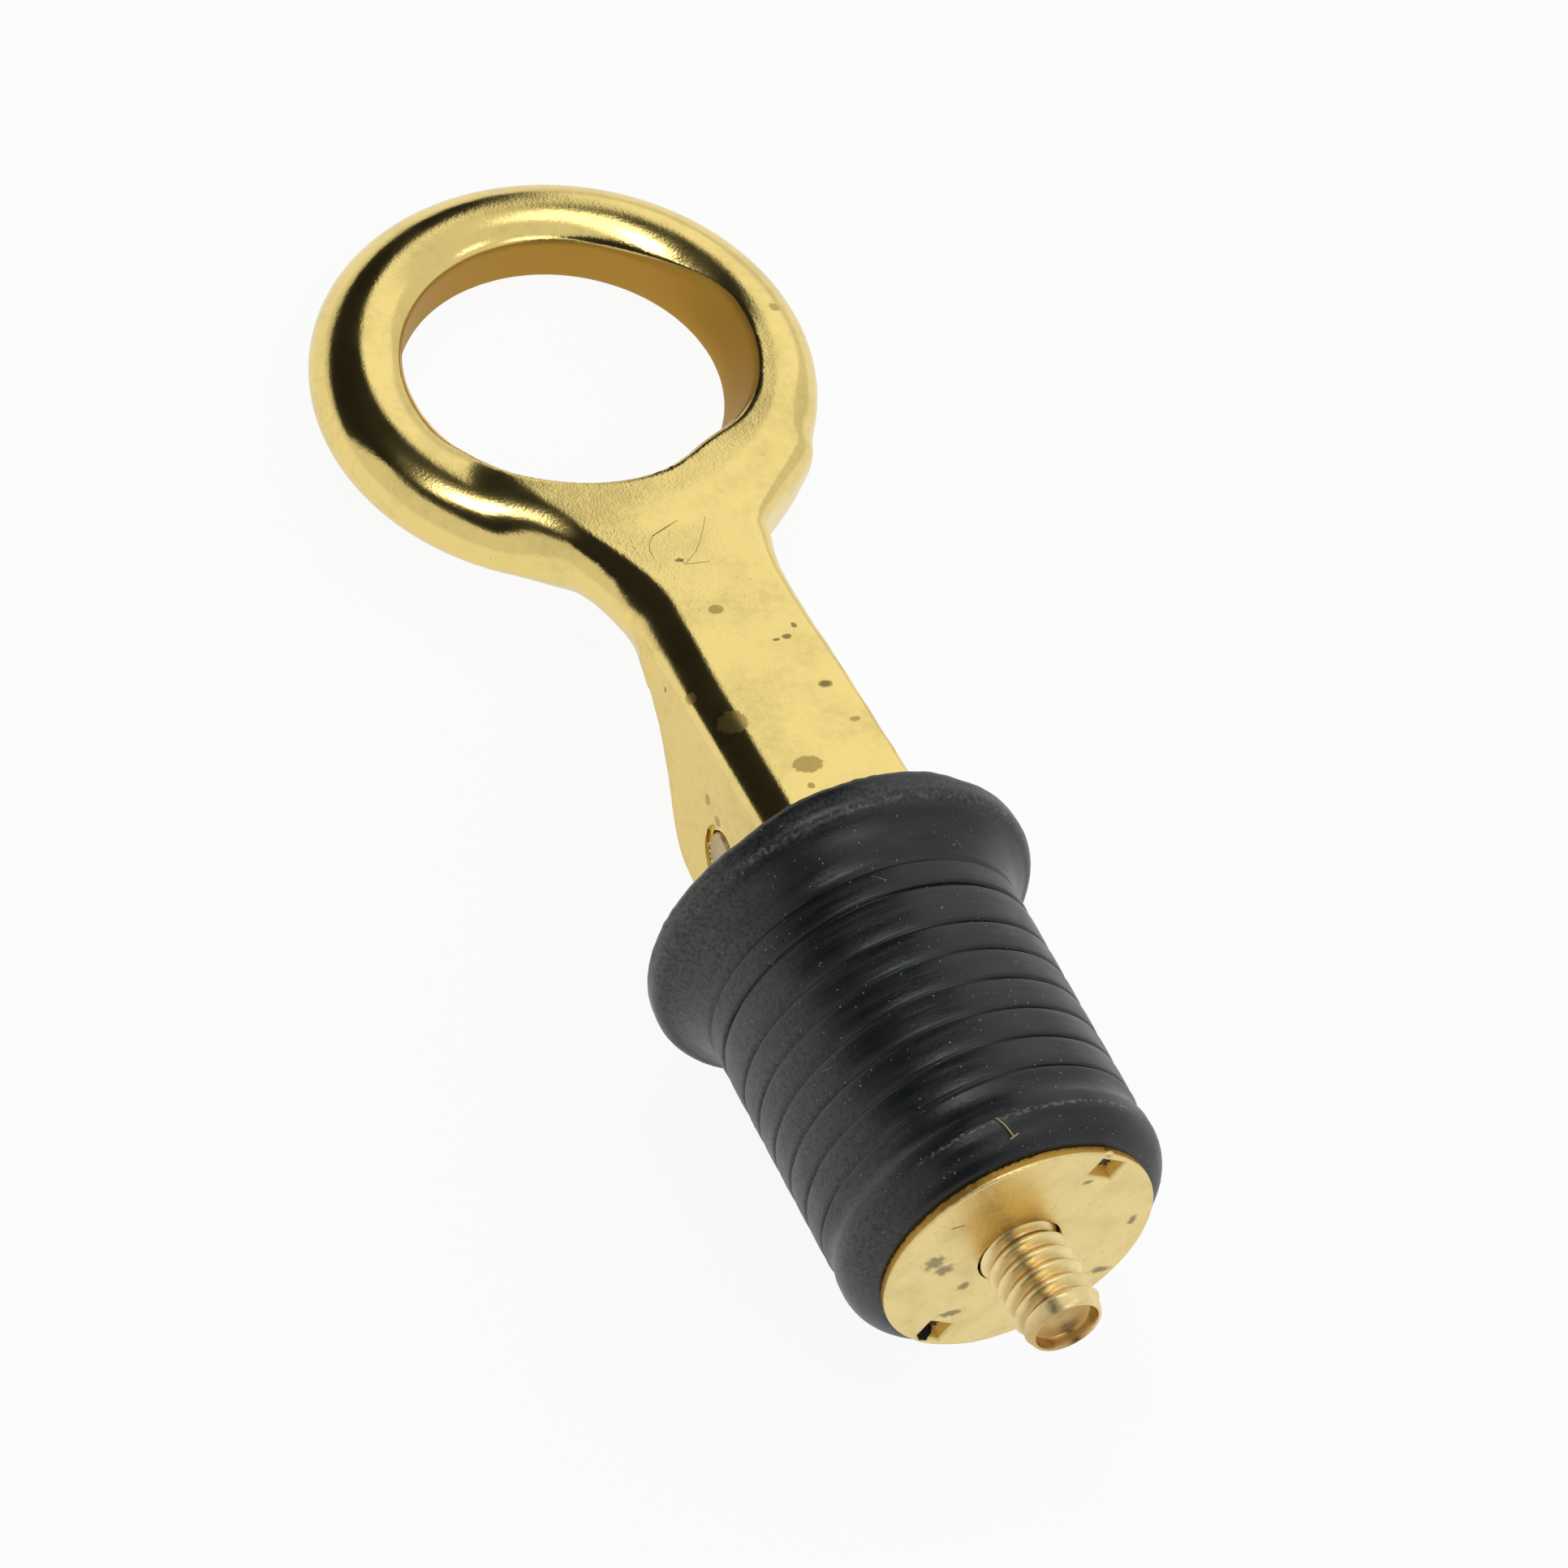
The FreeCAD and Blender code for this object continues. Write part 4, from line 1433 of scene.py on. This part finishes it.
def flat_sheet(
    name: str, wide: float, tall: float, level: float, finish: Material
) -> Object:
    """Make a flat sheet for the studio, in metres.

    Args:
        name: Name of the sheet.
        wide: Its width along x.
        tall: Its length along y.
        level: Its height.
        finish: Its material.

    Returns:
        The object.
    """
    mesh = bpy.data.meshes.new(name)
    signs = ((-1, -1), (1, -1), (1, 1), (-1, 1))
    corners = [(across * wide / 2, along * tall / 2, level) for across, along in signs]
    mesh.from_pydata(corners, [], [(0, 1, 2, 3)])
    mesh.materials.append(finish)
    return add_object(name, mesh)


class Role(Enum):
    """What a studio panel does."""

    LAMP = "lamp"
    CARD = "card"


@dataclass(frozen=True)
class Panel:
    """Flat panel aimed at the plug from a bearing, a height angle and a distance."""

    name: str
    role: Role
    bearing: float
    rise: float
    away: float
    wide: float
    tall: float
    glow: float = 0.0
    upright: bool = False
    aim: tuple = (0.0, -0.03, 0.0)

    def build(self) -> Object:
        """Make the lamp or the dark card.

        Returns:
            The object, in its place.
        """
        turn, lift = math.radians(self.bearing), math.radians(self.rise)
        toward = Vector((
            math.cos(lift) * math.cos(turn), math.cos(lift) * math.sin(turn), math.sin(lift)
        ))
        if self.role is Role.LAMP:
            light = bpy.data.lights.new(self.name, "AREA")
            light.shape = "RECTANGLE"
            light.size, light.size_y = self.wide, self.tall
            light.energy = self.glow * math.pi * self.wide * self.tall
            panel = add_object(self.name, light)
        else:
            finish = Dull(self.name, (self.glow,) * 3).material()
            panel = flat_sheet(self.name, self.wide, self.tall, 0.0, finish)
        panel.location = Vector(self.aim) + toward * self.away
        if self.upright:
            toward.z = 0.0
        panel.rotation_euler = toward.to_track_quat("Z", "Y").to_euler()
        return panel


@dataclass
class Studio:
    """Floor, lamps, cards, world and camera."""

    focal: float = 5919.133
    rows: tuple = (
        (-0.9089, 0.1410, -0.3924), (0.2080, -0.6622, -0.7199), (-0.3614, -0.7359, 0.5726),
    )
    shift: tuple[float, float, float] = (20.61, 31.08, 338.005)
    centre: tuple[float, float] = (-70.206, 31.35)
    picture: int = 1932
    sky: float = 0.7
    sensor: float = 36.0
    floor_side: float = 6.0
    paper: float = 0.96
    seen_glow: float = 0.92
    mirrored_glow: float = 0.6
    panels: tuple = (
        Panel("over_lamp", Role.LAMP, -70, 68, 0.66, 0.56, 0.2, 1.3),
        Panel("strip_lamp", Role.LAMP, -56, 65, 0.6, 0.2, 0.08, 5.0),
        Panel("back_lamp", Role.LAMP, 104, 61, 0.6, 0.24, 0.17, 1.4),
        Panel("edge_lamp", Role.LAMP, 166, 58, 0.6, 0.08, 0.1, 1.6),
        Panel("side_lamp", Role.LAMP, -130, 28, 1.12, 0.72, 0.62, 0.27),
        Panel("dark_card", Role.CARD, -70, 43, 1.2, 1.48, 1.4, 0.02, True),
        Panel("arch_card", Role.CARD, -22, 48, 0.9, 0.36, 0.3, 0.02),
        Panel("near_card", Role.CARD, 22, 60, 0.62, 0.5, 0.34, 0.02),
        Panel("back_card", Role.CARD, 80, 26, 0.7, 0.4, 0.5, 0.02),
    )

    def build(self) -> None:
        """Make the camera, the floor, the panels and the world."""
        self.make_camera()
        self.make_floor()
        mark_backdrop(*(panel.build() for panel in self.panels))
        world = bpy.data.worlds.new("studio")
        bpy.context.scene.world = world
        world.use_nodes = True
        sky = world.node_tree.nodes["Background"]
        sky.inputs["Color"].default_value = (1, 1, 1, 1)
        sky.inputs["Strength"].default_value = self.sky

    def make_camera(self) -> None:
        """Stand the camera where the photograph was taken from."""
        # The fitted rows are rounded, so the nearest true turn is taken.
        left, _, right = np.linalg.svd(np.array(self.rows))
        square = left @ right
        spot = -square.T @ np.array(self.shift)
        lens = bpy.data.cameras.new("camera")
        lens.sensor_width = self.sensor
        lens.lens = self.focal / self.picture * self.sensor
        lens.shift_x = -self.centre[0] / self.picture
        lens.shift_y = self.centre[1] / self.picture
        lens.clip_start, lens.clip_end = 0.01, 20.0
        camera = add_object("camera", lens)
        axes = LAY.directions(np.array([square[0], -square[1], -square[2]]))
        place = Matrix(axes.T.tolist()).to_4x4()
        place.translation = Vector(LAY.points(spot[None])[0])
        camera.matrix_world = place
        bpy.context.scene.camera = camera

    def make_floor(self) -> None:
        """Lay a pale floor that the camera sees near white, with the plug's shadow on it."""
        finish = Dull("floor_paper", (self.paper,) * 3).material()
        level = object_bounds()[0].z
        floor = flat_sheet("floor", self.floor_side, self.floor_side, level, finish)
        tree = finish.node_tree
        path = tree.nodes.new("ShaderNodeLightPath").outputs
        seen = Value(tree, path["Is Camera Ray"]) * self.seen_glow
        mirrored = Value(tree, path["Is Glossy Ray"])
        share = mirrored.joined("MULTIPLY_ADD", self.mirrored_glow, seen)
        glow = add_node(tree, "ShaderNodeEmission", {"Strength": 1.0})
        blend = add_node(tree, "ShaderNodeMixShader", {
            0: share, 1: tree.nodes["Principled BSDF"].outputs[0], 2: glow.outputs[0],
        })
        feed(tree, tree.nodes["Material Output"], {"Surface": blend.outputs[0]})
        floor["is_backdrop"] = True


@dataclass
class Dressing:
    """Puts every piece on its body with its finish."""

    sheet: PlainBrass = PlainBrass(
        "sheet_brass", (0.95, 0.77, 0.35), (0.74, 0.58, 0.24), 0.36, 0.014,
        (
            ((7.0, 1.4, 0), (0.8, 0.7, 2)), ((6.0, 0.2, 0), (0.7, 0.5, 2)),
            ((3.96, -2.6, 0), (0.45, 0.35, 2)), ((4.4, -5.6, 0), (0.9, 0.3, 2)),
            ((-8.9, 0.2, 0), (0.3, 0.5, 2)), ((-7.6, -5.3, 0), (0.8, 0.3, 2)),
            ((-4.0, 6.4, 0), (0.35, 0.2, 2)), ((5.9, 5.2, 0), (0.5, 0.12, 2)),
        ),
        # Painted shade inside the punched holes, then the painted shadow spot in one of them.
        (0.62, 0.36, 0.07),
        ((5.75, -7.55, 0.5), (0.85, 0.7, 4)),
    )
    dull: PlainBrass = PlainBrass(
        "pin_brass", (0.6, 0.48, 0.27), (0.4, 0.31, 0.17), 0.36, 0.01
    )
    # Its thread roots and cupped end get painted shade.
    drawn: PlainBrass = PlainBrass(
        "drawn_brass", (1.0, 0.82, 0.42), (0.8, 0.6, 0.24), 0.27, 0.006, root=2.4
    )

    hairs: tuple = (
        ((2.7, 7.93, 63.3), (2.68, 7.87, 64.3), (2.25, 7.8, 65.2), (1.77, 7.75, 65.8),
         (0.22, 7.7, 66.5), (-1.84, 7.62, 67.3), (-3.35, 7.58, 67.8), (-5.15, 7.5, 68.9),
         (-6.35, 7.45, 69.2), (-8.29, 7.3, 69.7)),
        ((-3.06, 7.69, 66.7), (-2.44, 7.77, 65.6), (-1.52, 7.87, 64.2), (-0.68, 7.95, 63.1),
         (0.58, 8.04, 62.1)),
        ((0.85, 8.0, 62.6), (0.61, 8.04, 62.0), (-0.21, 8.05, 61.9), (-1.25, 8.06, 61.8)),
    )
    lint: tuple = (
        ((77.1, 3.3), (78.0, 2.8), (78.6, 2.4), (79.6, 1.6)),
        ((81.3, 1.7), (79.6, 1.6), (78.2, 1.55)),
    )
    hair_radius: float = 0.02
    lint_radius: float = 0.06
    bead_radius: float = 12.55
    bead_height: float = 2.8
    bead_fall: float = 0.22

    def wear(self, piece: Object, body: str, finish: Material | None, *nodes: str) -> Object:
        """Give a piece its finish and body, and let it stand for nodes.

        Args:
            piece: The piece.
            body: Body it moves with.
            finish: Its material, None if it has one.
            nodes: Nodes it is shown for.

        Returns:
            The piece.
        """
        if not piece.data.materials:
            piece.data.materials.append(finish)
        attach(piece, body)
        if nodes:
            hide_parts(*nodes)
        return piece

    def build(self, frame: dict) -> None:
        """Make and place all pieces.

        Args:
            frame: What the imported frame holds.
        """
        cast, sheet, drawn = CastBrass().material(), self.sheet.material(), self.drawn.material()
        rubber = BlackRubber().material()
        self.wear(RingLever().build(), "lever", cast, "ring_lever")
        plug = self.wear(RubberPlug().build(), "rubber", rubber, "rubber_plug")
        stud = ThreadedStud()
        shaft = self.wear(stud.build_shaft(), "stud", drawn, "threaded_stud")
        eye = self.wear(stud.build_eye(), "stud", drawn)
        pin = self.wear(PivotPin().build(), "stud", self.dull.material(), "pivot_pin")
        washer = self.wear(BottomWasher().build(), "washer", sheet, "bottom_washer")
        top = frame["nodes"]["top_washer"]
        top.data.materials.clear()
        top.data.materials.append(sheet)
        self.lay_dust(plug)
        self.lay_hairs()

    def lay_dust(self, plug: Object) -> None:
        """Strew grains and fibres over the rubber.

        Args:
            plug: The rubber's moulding.
        """
        pale = Dull("pale_dust", (0.32, 0.34, 0.29))
        yellow = Dull("yellow_dust", (0.42, 0.36, 0.13))
        for scatter in (
            Scatter("pale_specks", Grain.SPECK, 2.6e5, 0.00006, 3, pale),
            Scatter("yellow_specks", Grain.SPECK, 0.5e5, 0.00007, 8, yellow),
            Scatter("pale_fibres", Grain.FIBRE, 1.2e4, 0.0004, 5, pale),
        ):
            self.wear(scatter.lay(plug), "rubber", None)

    def lay_hairs(self) -> None:
        """Lay the fine hairs on the lever's neck and the lint on the rubber's end."""
        hair = Dull("hair", (0.16, 0.13, 0.07)).material()
        for number, way in enumerate(self.hairs):
            line = thread_line("hair_%d" % number, np.array(way), self.hair_radius)
            self.wear(line, "lever", hair)
        lint = Dull("lint", (0.5, 0.42, 0.16)).material()
        for number, way in enumerate(self.lint):
            bearing, height = np.array(way).T
            turn, below = np.radians(bearing), np.maximum(self.bead_height - height, 0)
            reach = self.bead_radius - self.bead_fall * below ** 2
            spots = np.stack([reach * np.cos(turn), reach * np.sin(turn), height], axis=1)
            line = thread_line("lint_%d" % number, spots, self.lint_radius)
            self.wear(line, "rubber", lint)


def main() -> None:
    """Build the plug and its studio."""
    logging.basicConfig(level=logging.INFO)
    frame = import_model()
    Dressing().build(frame)
    bpy.context.scene.view_settings.view_transform = "Standard"
    Studio().build()


if __name__ == "__main__":
    main()
